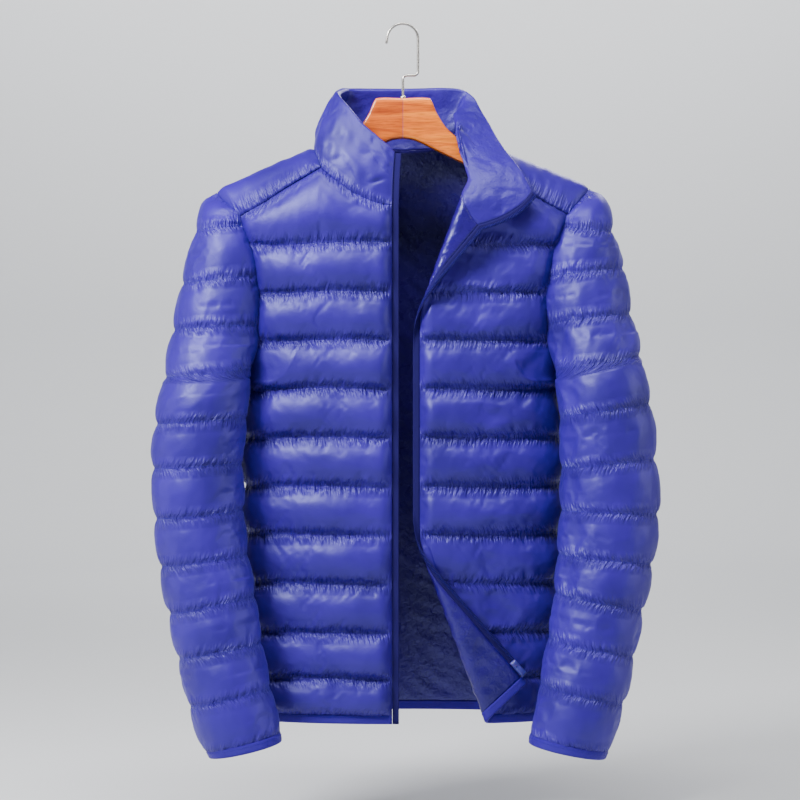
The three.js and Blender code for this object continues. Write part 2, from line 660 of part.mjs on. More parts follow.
function collarGrid(ring) {
  const base = ring.map(({ grid, r, c }) => grid.points[r][c].clone());
  const run = [0];
  for (let k = 1; k < base.length; k++) run.push(run[k - 1] + base[k].distanceTo(base[k - 1]));
  const middle = NECK_STEPS + YOKE_STEPS + NECK_STEPS;
  const points = [];
  for (let r = 0; r <= COLLAR_ROWS; r++) {
    const v = r / COLLAR_ROWS;
    points.push(
      base.map((neck, k) => {
        const right = k < middle;
        const whole = right ? run[middle] : run[run.length - 1] - run[middle];
        const at = Math.abs(run[k] - run[middle]) / whole;
        const table = right ? COLLAR_RIGHT : COLLAR_LEFT;
        const sign = right ? -1 : 1;
        const read = (name) => valueAt(table, "at", name, at);
        const mid = vec(sign * read("midX"), read("midY"), read("midZ"));
        const top = vec(sign * read("topX"), read("topY"), read("topZ"));
        return neck
          .clone()
          .multiplyScalar((1 - v) * (1 - 2 * v))
          .addScaledVector(mid, 4 * v * (1 - v))
          .addScaledVector(top, v * (2 * v - 1));
      }),
    );
  }
  const puffs = base.map((_, k) => {
    const right = k < middle;
    const whole = right ? run[middle] : run[run.length - 1] - run[middle];
    return valueAt(right ? COLLAR_RIGHT : COLLAR_LEFT, "at", "puff", Math.abs(run[k] - run[middle]) / whole);
  });
  return { points, puffs, normals: naturalNormals(points, -1) };
}

// Sleeves

// A point of the armhole at a height, on the straight runs between the panel's own corners.
function armholePoint(grid, column, z) {
  const rows = grid.points;
  let r = 0;
  while (r < rows.length - 2 && rows[r + 1][column].z > z) r++;
  const [a, b] = [rows[r][column], rows[r + 1][column]];
  return a.clone().lerp(b, clamp((a.z - z) / (a.z - b.z), 0, 1));
}

const backEdge = (side, back) => (side.sign > 0 ? back.points[0].length - 1 : 0);
const armholeCentre = (side) => vec(side.sign * ARMHOLE_CENTRE.x, 0, ARMHOLE_CENTRE.z);

// The way a seam's wall stands at the armhole: away from its middle, mostly in the side plane.
function armholeWay(side, point) {
  const way = point.clone().sub(armholeCentre(side));
  return way.multiply(ARMHOLE_WAY).normalize();
}

function sleeveSection(side, table, line, angle) {
  const read = (name) => valueAt(table, "line", name, line);
  const outer = { x: read("outerX"), z: read("outerZ") };
  const inner = { x: read("innerX"), z: read("innerZ") };
  const half = (outer.x - inner.x) / 2 - SEAM;
  const tilt = (outer.z - inner.z) / (outer.x - inner.x);
  const across = half * Math.cos(angle);
  const x = (outer.x + inner.x) / 2 + across;
  const z = (outer.z + inner.z) / 2 + across * tilt;
  return vec(side.sign * x, read("middleY") - (read("depth") - SEAM) * Math.sin(angle), z);
}

// Moves a point of a sleeve out until it clears the body's side by a margin.
function clearOfBody(side, point, margin) {
  const depth = BODY_DEPTH + margin;
  const share = Math.min(1, Math.abs(point.y) / depth);
  const limit = (bodyHalf(point.z) + margin) * Math.pow(1 - Math.pow(share, BODY_ROUND), 1 / BODY_ROUND);
  const out = side.sign * point.x;
  if (out < limit) point.x = side.sign * limit;
}

// The angle at which a section looks towards a point.
function angleTowards(side, table, line, point) {
  const centre = sleeveSection(side, table, line, Math.PI / 2).add(
    sleeveSection(side, table, line, -Math.PI / 2),
  );
  centre.multiplyScalar(0.5);
  const x = side.sign * (point.x - centre.x);
  const half = Math.abs(sleeveSection(side, table, line, 0).x - centre.x);
  const depth = Math.abs(sleeveSection(side, table, line, Math.PI / 2).y - centre.y);
  return Math.atan2(-(point.y - centre.y) / depth, x / half);
}

// 1 on the seam that joins the sleeve to the body, fading to 0 over a share of the way round.
const nearSeam = (u) => Math.max(0, 1 - u / SEAM_FADE) ** 2;

// 1 down to the underarm, fading to 0 over a share of a channel below it.
const underArm = (line) => Math.max(0, 1 - Math.max(0, line - UNDERARM_LINE) / UNDERARM_FADE) ** 2;

function sleeveRows() {
  const rows = CAP_ROWS.map((row) => ({ ...row }));
  rows.push({ line: UNDERARM_LINE, endZ: UNDERARM_Z });
  TUBE_ROWS.forEach((line) => rows.push({ line }));
  for (let line = 5; line < SLEEVE_LINES; line++) {
    CHANNEL_ROWS.forEach((share) => rows.push({ line: line + share }));
  }
  rows.push({ line: SLEEVE_LINES });
  return rows;
}

const sleeveShares = [...steps(SLEEVE_COLUMNS), 1];
const inseam = THREE.MathUtils.degToRad(-INSEAM_ANGLE);

// The angles a row runs between: from its front end (positive) over the outside (0) to its back end.
function rowAngles(side, table, row, ends) {
  const turn = 2 * Math.PI;
  if (!ends || row.line >= UNDERARM_LINE) return [inseam + turn, inseam];
  const from = angleTowards(side, table, row.line, ends[0]);
  const to = angleTowards(side, table, row.line, ends[1]);
  return [from < 0 ? from + turn : from, to > 0 ? to - turn : to];
}

// One row of sleeve points; a row of the cap is drawn onto the armhole at both ends.
function sleeveRow(side, table, row, ends) {
  const [from, to] = rowAngles(side, table, row, ends);
  const made = sleeveShares.map((u) => sleeveSection(side, table, row.line, lerp(from, to, u)));
  if (!ends) return made;
  const errors = [ends[0].clone().sub(made[0]), ends[1].clone().sub(made[SLEEVE_COLUMNS])];
  made.forEach((p, c) => {
    p.addScaledVector(errors[0], nearSeam(sleeveShares[c]));
    p.addScaledVector(errors[1], nearSeam(1 - sleeveShares[c]));
  });
  return made;
}

// Draws the first row onto the yoke's own edge; the next rows leave it smoothly.
function joinYoke(rows, points, top) {
  const shift = points[0].map((p, c) => {
    const t = sleeveShares[c] * YOKE_STEPS;
    const k = Math.min(Math.floor(t), YOKE_STEPS - 1);
    return top[k].clone().lerp(top[k + 1], t - k).sub(p);
  });
  for (let r = 0; rows[r].line < 1; r++) {
    const fade = Math.pow(1 - rows[r].line, 2);
    points[r].forEach((p, c) => p.addScaledVector(shift[c], fade));
  }
}

// Rows just below the underarm leave the armhole smoothly too.
function leaveUnderarm(side, table, rows, points, closedFrom) {
  const away = points[closedFrom][0].clone().sub(sleeveSection(side, table, UNDERARM_LINE, inseam));
  for (let r = closedFrom + 1; r < rows.length; r++) {
    const fade = underArm(rows[r].line);
    points[r].forEach((p, c) => {
      p.addScaledVector(away, fade * (nearSeam(sleeveShares[c]) + nearSeam(1 - sleeveShares[c])));
    });
  }
}

// Below the armhole the sleeve keeps off the body, more so away from the seam that joins them.
function keepOffBody(side, rows, points) {
  rows.forEach(({ line }, r) => {
    if (line < SLEEVE_CLEAR_FROM || line > SLEEVE_CLEAR_TO) return;
    points[r].forEach((p, c) => {
      const u = sleeveShares[c];
      const apart = clamp((Math.min(u, 1 - u) * SLEEVE_ROUND) / SLEEVE_CLEAR_REACH, 0, 1);
      const margin = SLEEVE_CLEAR * Math.max(1 - underArm(line), apart);
      if (margin > 0) clearOfBody(side, p, margin);
    });
  });
}

function sleeveGrid(side, table, front, back, yoke) {
  const rows = sleeveRows();
  const closedFrom = CAP_ROWS.length;
  const ends = (z) => [
    armholePoint(front, front.points[0].length - 1, z),
    armholePoint(back, backEdge(side, back), z),
  ];
  const points = rows.map((row) => {
    const open = row.endZ !== undefined;
    return sleeveRow(side, table, row, open ? ends(row.endZ) : null);
  });
  joinYoke(rows, points, yoke.points.map((row) => row[SHOULDER_STEPS]));
  leaveUnderarm(side, table, rows, points, closedFrom);
  keepOffBody(side, rows, points);
  const grid = { rows, points, closedFrom, normals: naturalNormals(points, -side.sign, closedFrom) };
  points[0].forEach((p, c) => grid.normals[0][c].copy(armholeWay(side, p)));
  for (let r = 1; r <= closedFrom; r++) {
    [0, SLEEVE_COLUMNS].forEach((c) => grid.normals[r][c].copy(armholeWay(side, points[r][c])));
  }
  return grid;
}

function sleeveThickness(grid, side) {
  return (r, c) => {
    const { line } = grid.rows[r];
    const share = line - Math.floor(line);
    if (share === 0) return SEAM;
    const u = c / SLEEVE_COLUMNS;
    const fromEdge = r < grid.closedFrom ? Math.min(u, 1 - u) * SLEEVE_ROUND : SLEEVE_ROUND;
    const body = clamp((-side.sign * grid.normals[r][c].x - 0.2) / 0.5, 0, 1);
    const inside = lerp(SLEEVE_INSIDE_PUFF, ARMPIT_PUFF, armpit(grid.points[r][c].z));
    const puff = lerp(SLEEVE_PUFF, inside, body);
    const capRise = settle(line, CAP_RISE);
    return SEAM + (puff - SEAM) * swell(share) * settle(fromEdge, SLEEVE_EDGE_REACH) * capRise;
  };
}

// Bands that finish an edge: a short stretch of the same surface below a grid's last row

function bandGrid(lastRows, lowerPoints, outward, closedFrom) {
  const points = [lastRows, lowerPoints];
  return { points, closedFrom, normals: naturalNormals(points, outward, closedFrom) };
}

function frontHem(side, front) {
  const last = front.places[front.places.length - 1];
  const at = (z) => last.map(({ x }) => foldedPoint(side, x, z, -1));
  const floor = BODY_LINES[BODY_LINES.length - 1];
  return bandGrid(at(floor - GAP), at(HEM_Z), -side.sign);
}

function backHem(back) {
  const last = back.places[back.places.length - 1];
  const at = (z) => last.map(({ side, x }) => bodyPoint(side, x, z, 1));
  const floor = BODY_LINES[BODY_LINES.length - 1];
  return bandGrid(at(floor - GAP), at(HEM_Z), 1);
}

function cuffGrid(side, sleeve) {
  const rows = sleeve.points;
  const last = rows.length - 1;
  const edge = rows[last].map((p, c) => {
    const way = p.clone().sub(rows[last - 1][c]).normalize();
    return { top: p.clone().addScaledVector(way, GAP), low: p.clone().addScaledVector(way, CUFF) };
  });
  return bandGrid(
    edge.map((e) => e.top),
    edge.map((e) => e.low),
    -side.sign,
    0,
  );
}

// Zip tapes: strips along the front edges, from the top of the collar to the hem

function tapeGrid(side, front, collar) {
  const ends = side.sign < 0 ? [0, 1] : [collar.points[0].length - 1, collar.points[0].length - 2];
  const out = COLLAR_TAPE_OUT[side.sign < 0 ? "right" : "left"];
  const width = side.edge - side.tapeEdge;
  const points = [];
  const normals = [];
  for (let r = COLLAR_ROWS; r > 0; r--) {
    const p = collar.points[r][ends[0]];
    const way = vec(out.x, out.y, out.z).normalize();
    points.push([p.clone().addScaledVector(way, GAP), p.clone().addScaledVector(way, width)]);
    normals.push(collar.normals[r][ends[0]].clone());
  }
  front.places.forEach((row, r) => {
    const z = row[0].z;
    points.push([
      foldedPoint(side, side.edge - TAPE_GAP, z, -1),
      foldedPoint(side, side.tapeEdge, z, -1),
    ]);
    normals.push(front.normals[r][0].clone());
  });
  return { points, normals: normals.map((n) => [n, n.clone()]) };
}

function cutTape(grid, side) {
  const keep = grid.points.findIndex(([p], r) => r > COLLAR_ROWS && flatRowZ(r) < PIN_TOP);
  if (side.sign < 0) return grid;
  const points = grid.points.slice(0, keep);
  const normals = grid.normals.slice(0, keep);
  points.push([
    foldedPoint(side, side.edge - GAP, PIN_TOP, -1),
    foldedPoint(side, side.tapeEdge, PIN_TOP, -1),
  ]);
  normals.push(grid.normals[keep].map((n) => n.clone()));
  return { points, normals };
}

function flatRowZ(tapeRow) {
  const row = panelRows(-1)[tapeRow - COLLAR_ROWS];
  return rowZ(row, NECK_FRONT[1].z, -1);
}

function pinGrid(side) {
  const points = [PIN_TOP - GAP, (PIN_TOP + PIN_LOW) / 2, PIN_LOW].map((z) =>
    [side.edge - GAP, side.tapeEdge].map((x) => foldedPoint(side, x, z, -1)),
  );
  return { points, normals: naturalNormals(points, -side.sign) };
}

// Hanger: two wooden halves, a ferrule and a bent steel hook

function woodHalf(side) {
  const seam = GAP / 2;
  const outline = [
    { x: seam, z: WOOD_TOP },
    ...WOOD_UPPER,
    WOOD_END,
    ...[...WOOD_LOWER].reverse(),
  ].map((p) => new THREE.Vector2(Math.max(seam, p.x), p.z));
  const corner = WOOD_CORNER;
  const geometry = new THREE.ExtrudeGeometry(new THREE.Shape(outline), {
    depth: WOOD_DEPTH - 2 * corner,
    bevelEnabled: true,
    bevelThickness: corner,
    bevelSize: corner,
    bevelOffset: -corner,
    bevelSegments: 2,
    steps: 1,
  });
  geometry.translate(0, 0, corner - WOOD_DEPTH / 2);
  const p = geometry.attributes.position;
  for (let k = 0; k < p.count; k++) {
    const x = p.getX(k);
    const arm = clamp((x - WOOD_ARM_X) / (WOOD_END.x - WOOD_ARM_X), 0, 1);
    p.setXYZ(k, side.sign * x, -p.getZ(k) - WOOD_FORWARD * arm * arm, p.getY(k) + shoulderLift(side, x));
  }
  return closed(geometry);
}

// One closed mesh, with its shared corners merged.
function closed(geometry) {
  geometry.deleteAttribute("normal");
  geometry.deleteAttribute("uv");
  return facingOut(mergeVertices(geometry, 1e-4));
}

function hookWire() {
  const path = new THREE.CurvePath();
  const jog = HOOK_JOG;
  const topZ = WIRE / 2 - HOOK_BEND;
  const line = (a, b) => path.add(new THREE.LineCurve3(a, b));
  const bend = (a, corner, b) => path.add(new THREE.QuadraticBezierCurve3(a, corner, b));
  const low = WOOD_TOP + GAP - HANG;
  line(vec(0, 0, low), vec(0, 0, HOOK_JOG_Z - jog));
  bend(vec(0, 0, HOOK_JOG_Z - jog), vec(0, 0, HOOK_JOG_Z), vec(jog, 0, HOOK_JOG_Z));
  line(vec(jog, 0, HOOK_JOG_Z), vec(HOOK_SHANK_X - jog, 0, HOOK_JOG_Z));
  bend(
    vec(HOOK_SHANK_X - jog, 0, HOOK_JOG_Z),
    vec(HOOK_SHANK_X, 0, HOOK_JOG_Z),
    vec(HOOK_SHANK_X, 0, HOOK_JOG_Z + jog),
  );
  line(vec(HOOK_SHANK_X, 0, HOOK_JOG_Z + jog), vec(HOOK_SHANK_X, 0, topZ));
  const arc = [];
  for (let k = 0; k <= 12; k++) {
    const angle = (k / 12) * THREE.MathUtils.degToRad(HOOK_TURN);
    arc.push(vec(HOOK_SHANK_X - HOOK_BEND * (1 - Math.cos(angle)), 0, topZ + HOOK_BEND * Math.sin(angle)));
  }
  path.add(new THREE.CatmullRomCurve3(arc));
  const end = arc[arc.length - 1];
  line(end, vec(HOOK_TIP.x, 0, HOOK_TIP.z));
  return path;
}

function hookGeometry() {
  const circle = new THREE.Shape();
  circle.absarc(0, 0, WIRE / 2, 0, 2 * Math.PI);
  const along = { extrudePath: hookWire(), steps: HOOK_STEPS, curveSegments: 4, bevelEnabled: false };
  return closed(new THREE.ExtrudeGeometry(circle, along));
}

// Assembly

const wasm = await Module();
wasm.setup();

function solidOf(geometry) {
  const mesh = new wasm.Mesh({
    numProp: 3,
    vertProperties: geometry.attributes.position.array,
    triVerts: new Uint32Array(geometry.index.array),
  });
  return new wasm.Manifold(mesh);
}

function geometryOf(solid) {
  const mesh = solid.getMesh();
  const geometry = new THREE.BufferGeometry();
  geometry.setAttribute("position", new THREE.BufferAttribute(new Float32Array(mesh.vertProperties), 3));
  geometry.setIndex(new THREE.BufferAttribute(new Uint32Array(mesh.triVerts), 1));
  return geometry;
}

const joined = (...geometries) => geometryOf(geometries.map(solidOf).reduce((a, b) => a.add(b)));

// Trims a piece where it presses on its neighbours, so that a little air stays between them.
function trimmed(geometry, ...neighbours) {
  const steps = [-TRIM, TRIM].flatMap((t) => [
    [t, 0, 0],
    [0, t, 0],
    [0, 0, t],
  ]);
  let solid = solidOf(geometry);
  neighbours.map(solidOf).forEach((other) => {
    if (solid.intersect(other).isEmpty()) return;
    steps.forEach((step) => (solid = solid.subtract(other.translate(step))));
  });
  const bodies = solid.decompose().sort((a, b) => b.volume() - a.volume());
  return geometryOf(bodies[0].asOriginal().simplify(TRIM_TOLERANCE));
}

const group = new THREE.Group();
const hung = new THREE.Group();
hung.position.z = -HANG;
group.add(hung);

function addMesh(name, geometry, look, parent = hung) {
  const mesh = new THREE.Mesh(geometry, new THREE.MeshStandardMaterial(COLOURS[look]));
  mesh.name = name;
  parent.add(mesh);
}

const eachSide = (run) => Object.entries(SIDES).forEach(([name, side]) => run(name, side));

// Neighbours face the same way on the seam they share, so their walls stand side by side.
function matchYokeSeams(side, front, back, yoke) {
  const lastFront = front.points[0].length - 1;
  for (let c = 0; c <= SHOULDER_STEPS; c++) {
    const inFront = lastFront - SHOULDER_STEPS + c;
    const behind = backEdge(side, back) + side.sign * (c - SHOULDER_STEPS);
    shareNormal({ grid: yoke, r: 0, c }, { grid: front, r: 0, c: inFront });
    shareNormal({ grid: yoke, r: YOKE_STEPS, c }, { grid: back, r: 0, c: behind });
  }
}

// Walls stand square to the side seam and lie round the armhole.
function standSideSeams(side, front, back, yoke) {
  const stand = (grid, column) =>
    grid.points.forEach((row, r) => {
      if (onArmhole(row[column].z)) grid.normals[r][column].copy(armholeWay(side, row[column]));
      else grid.normals[r][column].set(side.sign, 0, 0);
    });
  stand(front, front.points[0].length - 1);
  stand(back, backEdge(side, back));
  yoke.points.forEach((row, r) => {
    yoke.normals[r][SHOULDER_STEPS].copy(armholeWay(side, row[SHOULDER_STEPS]));
  });
}

function matchNeckSeam(ring, collar, fronts, yokes) {
  ring.forEach((place, k) => shareNormal(place, { grid: collar, r: 0, c: k }));
  const leftFront = fronts.left.points[0].length - 1 - SHOULDER_STEPS;
  const backJoin = NECK_STEPS + YOKE_STEPS;
  yokes.right.normals[0][0].copy(collar.normals[0][NECK_STEPS]);
  yokes.left.normals[0][0].copy(collar.normals[0][collar.points[0].length - 1 - leftFront]);
  yokes.right.normals[YOKE_STEPS][0].copy(collar.normals[0][backJoin]);
  yokes.left.normals[YOKE_STEPS][0].copy(collar.normals[0][backJoin + 2 * NECK_STEPS]);
}

// The yokes, the sleeves and the back draw back from their neighbours at their seams.
function openSeams(side, yoke, sleeve, back) {
  for (let c = 0; c <= SHOULDER_STEPS; c++) {
    backOff(yoke, 0, c, { r: 1, c });
    backOff(yoke, YOKE_STEPS, c, { r: YOKE_STEPS - 1, c });
  }
  for (let r = 0; r <= sleeve.closedFrom; r++) {
    [0, SLEEVE_COLUMNS].forEach((c) => (sleeve.points[r][c].x += side.sign * SLEEVE_GAP));
  }
  for (let c = 1; c < SLEEVE_COLUMNS; c++) sleeve.points[0][c].x += side.sign * SLEEVE_GAP;
  back.points.forEach((row) => {
    const edge = row[backEdge(side, back)];
    if (edge.z < UNDERARM_Z + SAME_HEIGHT) edge.y += GAP;
  });
}

function addFront(name, side, front) {
  const solid = clothSolid(front, panelThickness(front, side, false), keptRows(front, side === SIDES.left));
  addMesh("front_" + name, solid, "nylon");
  const hem = frontHem(side, front);
  const hemSolid = clothSolid(hem, () => BINDING, allRows(hem));
  addMesh("hem_binding_" + name, trimmed(hemSolid, solid), "binding");
  return solid;
}

function addYoke(name, yoke) {
  const rise = (r, c) => {
    const inside = Math.min(r, YOKE_STEPS - r, c, SHOULDER_STEPS - c);
    return SEAM + (YOKE_PUFF - SEAM) * settle(inside, EDGE_CELLS);
  };
  addMesh("yoke_" + name, clothSolid(yoke, rise, allRows(yoke)), "nylon");
}

function addSleeve(name, side, sleeve, frontSolid, backSolid) {
  const onLine = (r) => Number.isInteger(sleeve.rows[r].line);
  const kept = allRows(sleeve).filter((r) => onLine(r) || r <= sleeve.closedFrom);
  const solid = clothSolid(sleeve, sleeveThickness(sleeve, side), kept);
  addMesh("sleeve_" + name, trimmed(solid, frontSolid, backSolid), "nylon");
  const cuff = cuffGrid(side, sleeve);
  addMesh("cuff_binding_" + name, clothSolid(cuff, () => BINDING, allRows(cuff)), "binding");
}

function addBack(back) {
  const solid = clothSolid(back, panelThickness(back, SIDES.right, true), keptRows(back, false));
  addMesh("back", solid, "nylon");
  const hem = backHem(back);
  addMesh("hem_binding_back", clothSolid(hem, () => BINDING, allRows(hem)), "binding");
  return solid;
}

function addCollar(collar, frontSolids) {
  const thickness = (r, c) => {
    const edge = settle(Math.min(c, collar.points[0].length - 1 - c), EDGE_CELLS);
    const rise = Math.sin((Math.PI * r) / COLLAR_ROWS) ** COLLAR_SWELL;
    return r === 0 || r === COLLAR_ROWS ? SEAM : SEAM + (collar.puffs[c] - SEAM) * rise * edge;
  };
  const solid = clothSolid(collar, thickness, allRows(collar));
  addMesh("collar", trimmed(solid, frontSolids.right, frontSolids.left), "nylon");
}

function addZip(tapes, frontSolids) {
  eachSide((name) => {
    const solid = clothSolid(tapes[name], () => TAPE, allRows(tapes[name]));
    addMesh("zip_tape_" + name, trimmed(solid, frontSolids[name]), "tape");
  });
  const pin = pinGrid(SIDES.left);
  addMesh("zip_pin", clothSolid(pin, () => PIN, allRows(pin)), "plastic");
}

function buildJacket() {
  const fronts = { right: frontGrid(SIDES.right), left: frontGrid(SIDES.left) };
  const back = backGrid();
  const yokes = { right: yokeGrid(SIDES.right), left: yokeGrid(SIDES.left) };
  const ring = neckline(fronts, yokes, back);
  const collar = collarGrid(ring);
  const sleeveTables = { right: SLEEVE_RIGHT, left: SLEEVE_LEFT };
  const sleeves = {};
  eachSide((name, side) => {
    sleeves[name] = sleeveGrid(side, sleeveTables[name], fronts[name], back, yokes[name]);
    matchYokeSeams(side, fronts[name], back, yokes[name]);
    standSideSeams(side, fronts[name], back, yokes[name]);
  });
  matchNeckSeam(ring, collar, fronts, yokes);
  const tapes = {};
  eachSide((name, side) => (tapes[name] = cutTape(tapeGrid(side, fronts[name], collar), side)));
  ring.forEach((_, k) => backOff(collar, 0, k, { r: 1, c: k }));
  eachSide((name, side) => openSeams(side, yokes[name], sleeves[name], back));

  const backSolid = addBack(back);
  const frontSolids = {};
  eachSide((name, side) => {
    frontSolids[name] = addFront(name, side, fronts[name]);
    addYoke(name, yokes[name]);
    addSleeve(name, side, sleeves[name], frontSolids[name], backSolid);
  });
  addCollar(collar, frontSolids);
  addZip(tapes, frontSolids);
}

function buildHanger() {
  addMesh("hanger_wood_right", woodHalf(SIDES.right), "wood");
  addMesh("hanger_wood_left", woodHalf(SIDES.left), "wood");
  const ferrule = new THREE.LatheGeometry(
    [
      new THREE.Vector2(0, 0),
      new THREE.Vector2(FERRULE.radius, 0),
      new THREE.Vector2(FERRULE.radius, FERRULE.height * 0.5),
      new THREE.Vector2(FERRULE.radius * 0.6, FERRULE.height),
      new THREE.Vector2(0, FERRULE.height),
    ],
    12,
  );
  ferrule.rotateX(Math.PI / 2);
  ferrule.translate(0, 0, WOOD_TOP + GAP - HANG);
  addMesh("hook", joined(hookGeometry(), closed(ferrule)), "steel", group);
}

buildJacket();
buildHanger();

export default group;
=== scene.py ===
import math
import bpy
import numpy as np
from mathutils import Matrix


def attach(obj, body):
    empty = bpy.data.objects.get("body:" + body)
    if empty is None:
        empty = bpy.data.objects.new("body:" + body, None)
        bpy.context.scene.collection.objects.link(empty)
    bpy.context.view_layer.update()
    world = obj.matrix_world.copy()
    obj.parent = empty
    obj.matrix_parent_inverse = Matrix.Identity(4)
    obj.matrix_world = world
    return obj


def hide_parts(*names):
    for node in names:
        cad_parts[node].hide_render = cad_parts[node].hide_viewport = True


# The looks of a light puffer jacket, open at the front, on a wooden suit hanger.
# Sizes are in millimetres here and turn into metres where a mesh is made.
# X runs to the viewer's right, the fronts face -Y and Z is up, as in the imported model.
# Heights of the jacket and the wood are measured from a point HANG below the origin.

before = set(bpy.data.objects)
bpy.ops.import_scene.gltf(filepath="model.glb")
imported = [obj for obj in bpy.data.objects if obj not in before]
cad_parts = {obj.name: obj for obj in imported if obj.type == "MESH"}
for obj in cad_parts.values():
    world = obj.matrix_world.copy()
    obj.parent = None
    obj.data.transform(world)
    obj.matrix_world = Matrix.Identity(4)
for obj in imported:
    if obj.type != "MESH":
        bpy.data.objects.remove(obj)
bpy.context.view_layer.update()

MM = 0.001
HANG = 9.5
CELL = 4.2
GAP = 0.35

# Cloth: wall thickness on a quilting line, and between two lines where it is fullest
LINE = 2.6
BODY_PUFF = 15
SIDE_PUFF = 10
ARMPIT_PUFF = 4.2
SLEEVE_LINE = 3.6
SLEEVE_PUFF = 8.2
SLEEVE_INSIDE_PUFF = 6
YOKE_PUFF = 7.2
UNDER_LAPEL_PUFF = 8
LAPEL_PUFF = 6
BACK_NECK_SHARE = 0.6

# The body's flattened rings and arched top
BODY_DEPTH = 62
BODY_ROUND = 2.2
ARCH = 90
NECK_X, NECK_Z = 108, -148
SHOULDER_SLOPE = 0.45
NECK_BLEND = 40
NECK_HALFWAY_X = 106
SHOULDER_TIP_X = 226
RIGHT = {"name": "right", "sign": -1, "lift": 0, "edge": 13, "tape": 5}
LEFT = {"name": "left", "sign": 1, "lift": 5, "edge": 20, "tape": 12}
BODY_LINES = [-262, -320.6, -378.6, -436.6, -495.3, -553.9, -612.5, -671.1, -730.3, -784.7, -830]
BACK_TOP_LINE = 0.52
UNDERARM_Z = -427.9
UNDERARM_CHANNEL, UNDERARM_SHARE = 3, 0.85
HEM_Z = -839.5
ARMHOLE_CENTRE_X, ARMHOLE_CENTRE_Z = 196, -312
ARMPIT_Z, ARMPIT_REACH = -432, 45
LAPEL = {"x": 79, "z": -209, "dx": 0.34, "dz": 0.94}
CORNER = {"x": 47, "z": -671, "dx": 0.352, "dz": -0.936}
FOLD_RADIUS = 10
LAPEL_END_Z, CORNER_START_Z = -450, -560


def curve(keys, values):
    """A smooth function through a table's rows, held level beyond its ends."""
    keys, values = np.array(keys, float), np.array(values, float)
    if keys[0] > keys[-1]:
        keys, values = keys[::-1], values[::-1]
    each = np.arange(len(keys))
    low, high = np.maximum(each - 1, 0), np.minimum(each + 1, len(keys) - 1)
    slope = (values[high] - values[low]) / (keys[high] - keys[low])

    def at(x):
        x = np.clip(x, keys[0], keys[-1])
        i = np.clip(np.searchsorted(keys, x, side="right") - 1, 0, len(keys) - 2)
        width = keys[i + 1] - keys[i]
        t = (x - keys[i]) / width
        start = values[i] * (2 * t**3 - 3 * t**2 + 1) + slope[i] * width * (t**3 - 2 * t**2 + t)
        end = values[i + 1] * (3 * t**2 - 2 * t**3) + slope[i + 1] * width * (t**3 - t**2)
        return start + end

    return at


def curves(rows):
    """One smooth function for each further column of a table, by its first column."""
    columns = list(zip(*rows))
    return [curve(columns[0], column) for column in columns[1:]]


body_half = curve(
    [-845, -700, -540, -437, -428, -337, -262, -230, -190],
    [192, 190, 190, 191, 196, 208, 219, 224, 229],
)
neck_front = curve([0, 22, 40, 64, 86, 98], [-217, -217, -212, -200, -183, -171])
neck_back = curve([0, 62, 96], [-140, -139, -144])
yoke_front = curve([98, 136.6, 172.9, 199.5], [-171, -193.4, -216.4, -230])
yoke_back = curve([96, 130, 170, 203], [-144, -174, -206, -228])
armhole_front = curve([-428, -418, -398, -365, -325, -285, -252, -230], [196, 189, 182, 176, 175, 180, 190, 199.5])
armhole_back = curve([-428, -415, -390, -340, -285, -252, -228], [196, 191, 187, 184, 188, 195, 203])
shoulder_column = curve([-838, -730, -600, -171], [140, 112, 98, 98])
YOKE_ENDS = {-1: (98, 199.5, -230), 1: (96, 203, -228)}

# Collar ribs from the middle of the back to the front edge: at, mid x y z, top x y z, puff
COLLAR_RIGHT = [
    (0, 0, 50, -104, 0, 45, -66, 10),
    (0.22, 62, 41, -104, 59, 38, -67, 10),
    (0.36, 86, 22, -109, 72, 22, -71, 10),
    (0.44, 93, 0, -112, 77, 3, -79, 10),
    (0.62, 84, -33, -137, 66, -20, -99, 10),
    (0.79, 57, -50, -164, 47, -35, -124, 10),
    (0.88, 37, -55, -176, 31, -41, -138, 9),
    (1, 12, -58, -186, 10, -48, -154, 6),
]
COLLAR_LEFT = [
    (0, 0, 50, -104, 0, 45, -66, 10),
    (0.22, 62, 40, -104, 64, 38, -66, 9),
    (0.36, 68, 26, -98, 86, 30, -75, 7),
    (0.44, 63, 8, -103, 96, 16, -94, 6),
    (0.53, 64, -12, -114, 105, 6, -110, 5),
    (0.62, 67, -28, -134, 113, -6, -127, 5),
    (0.7, 76, -44, -159, 123, -24, -146, 5),
    (0.79, 98, -62, -182, 133, -42, -162, 6),
    (0.88, 110, -72, -203, 144, -54, -180, 7),
    (1, 129, -76, -226, 154, -64, -202, 5),
]
COLLAR_TAPE_OUT = {"right": (1, 0, 0), "left": (0.68, 0, -0.73)}

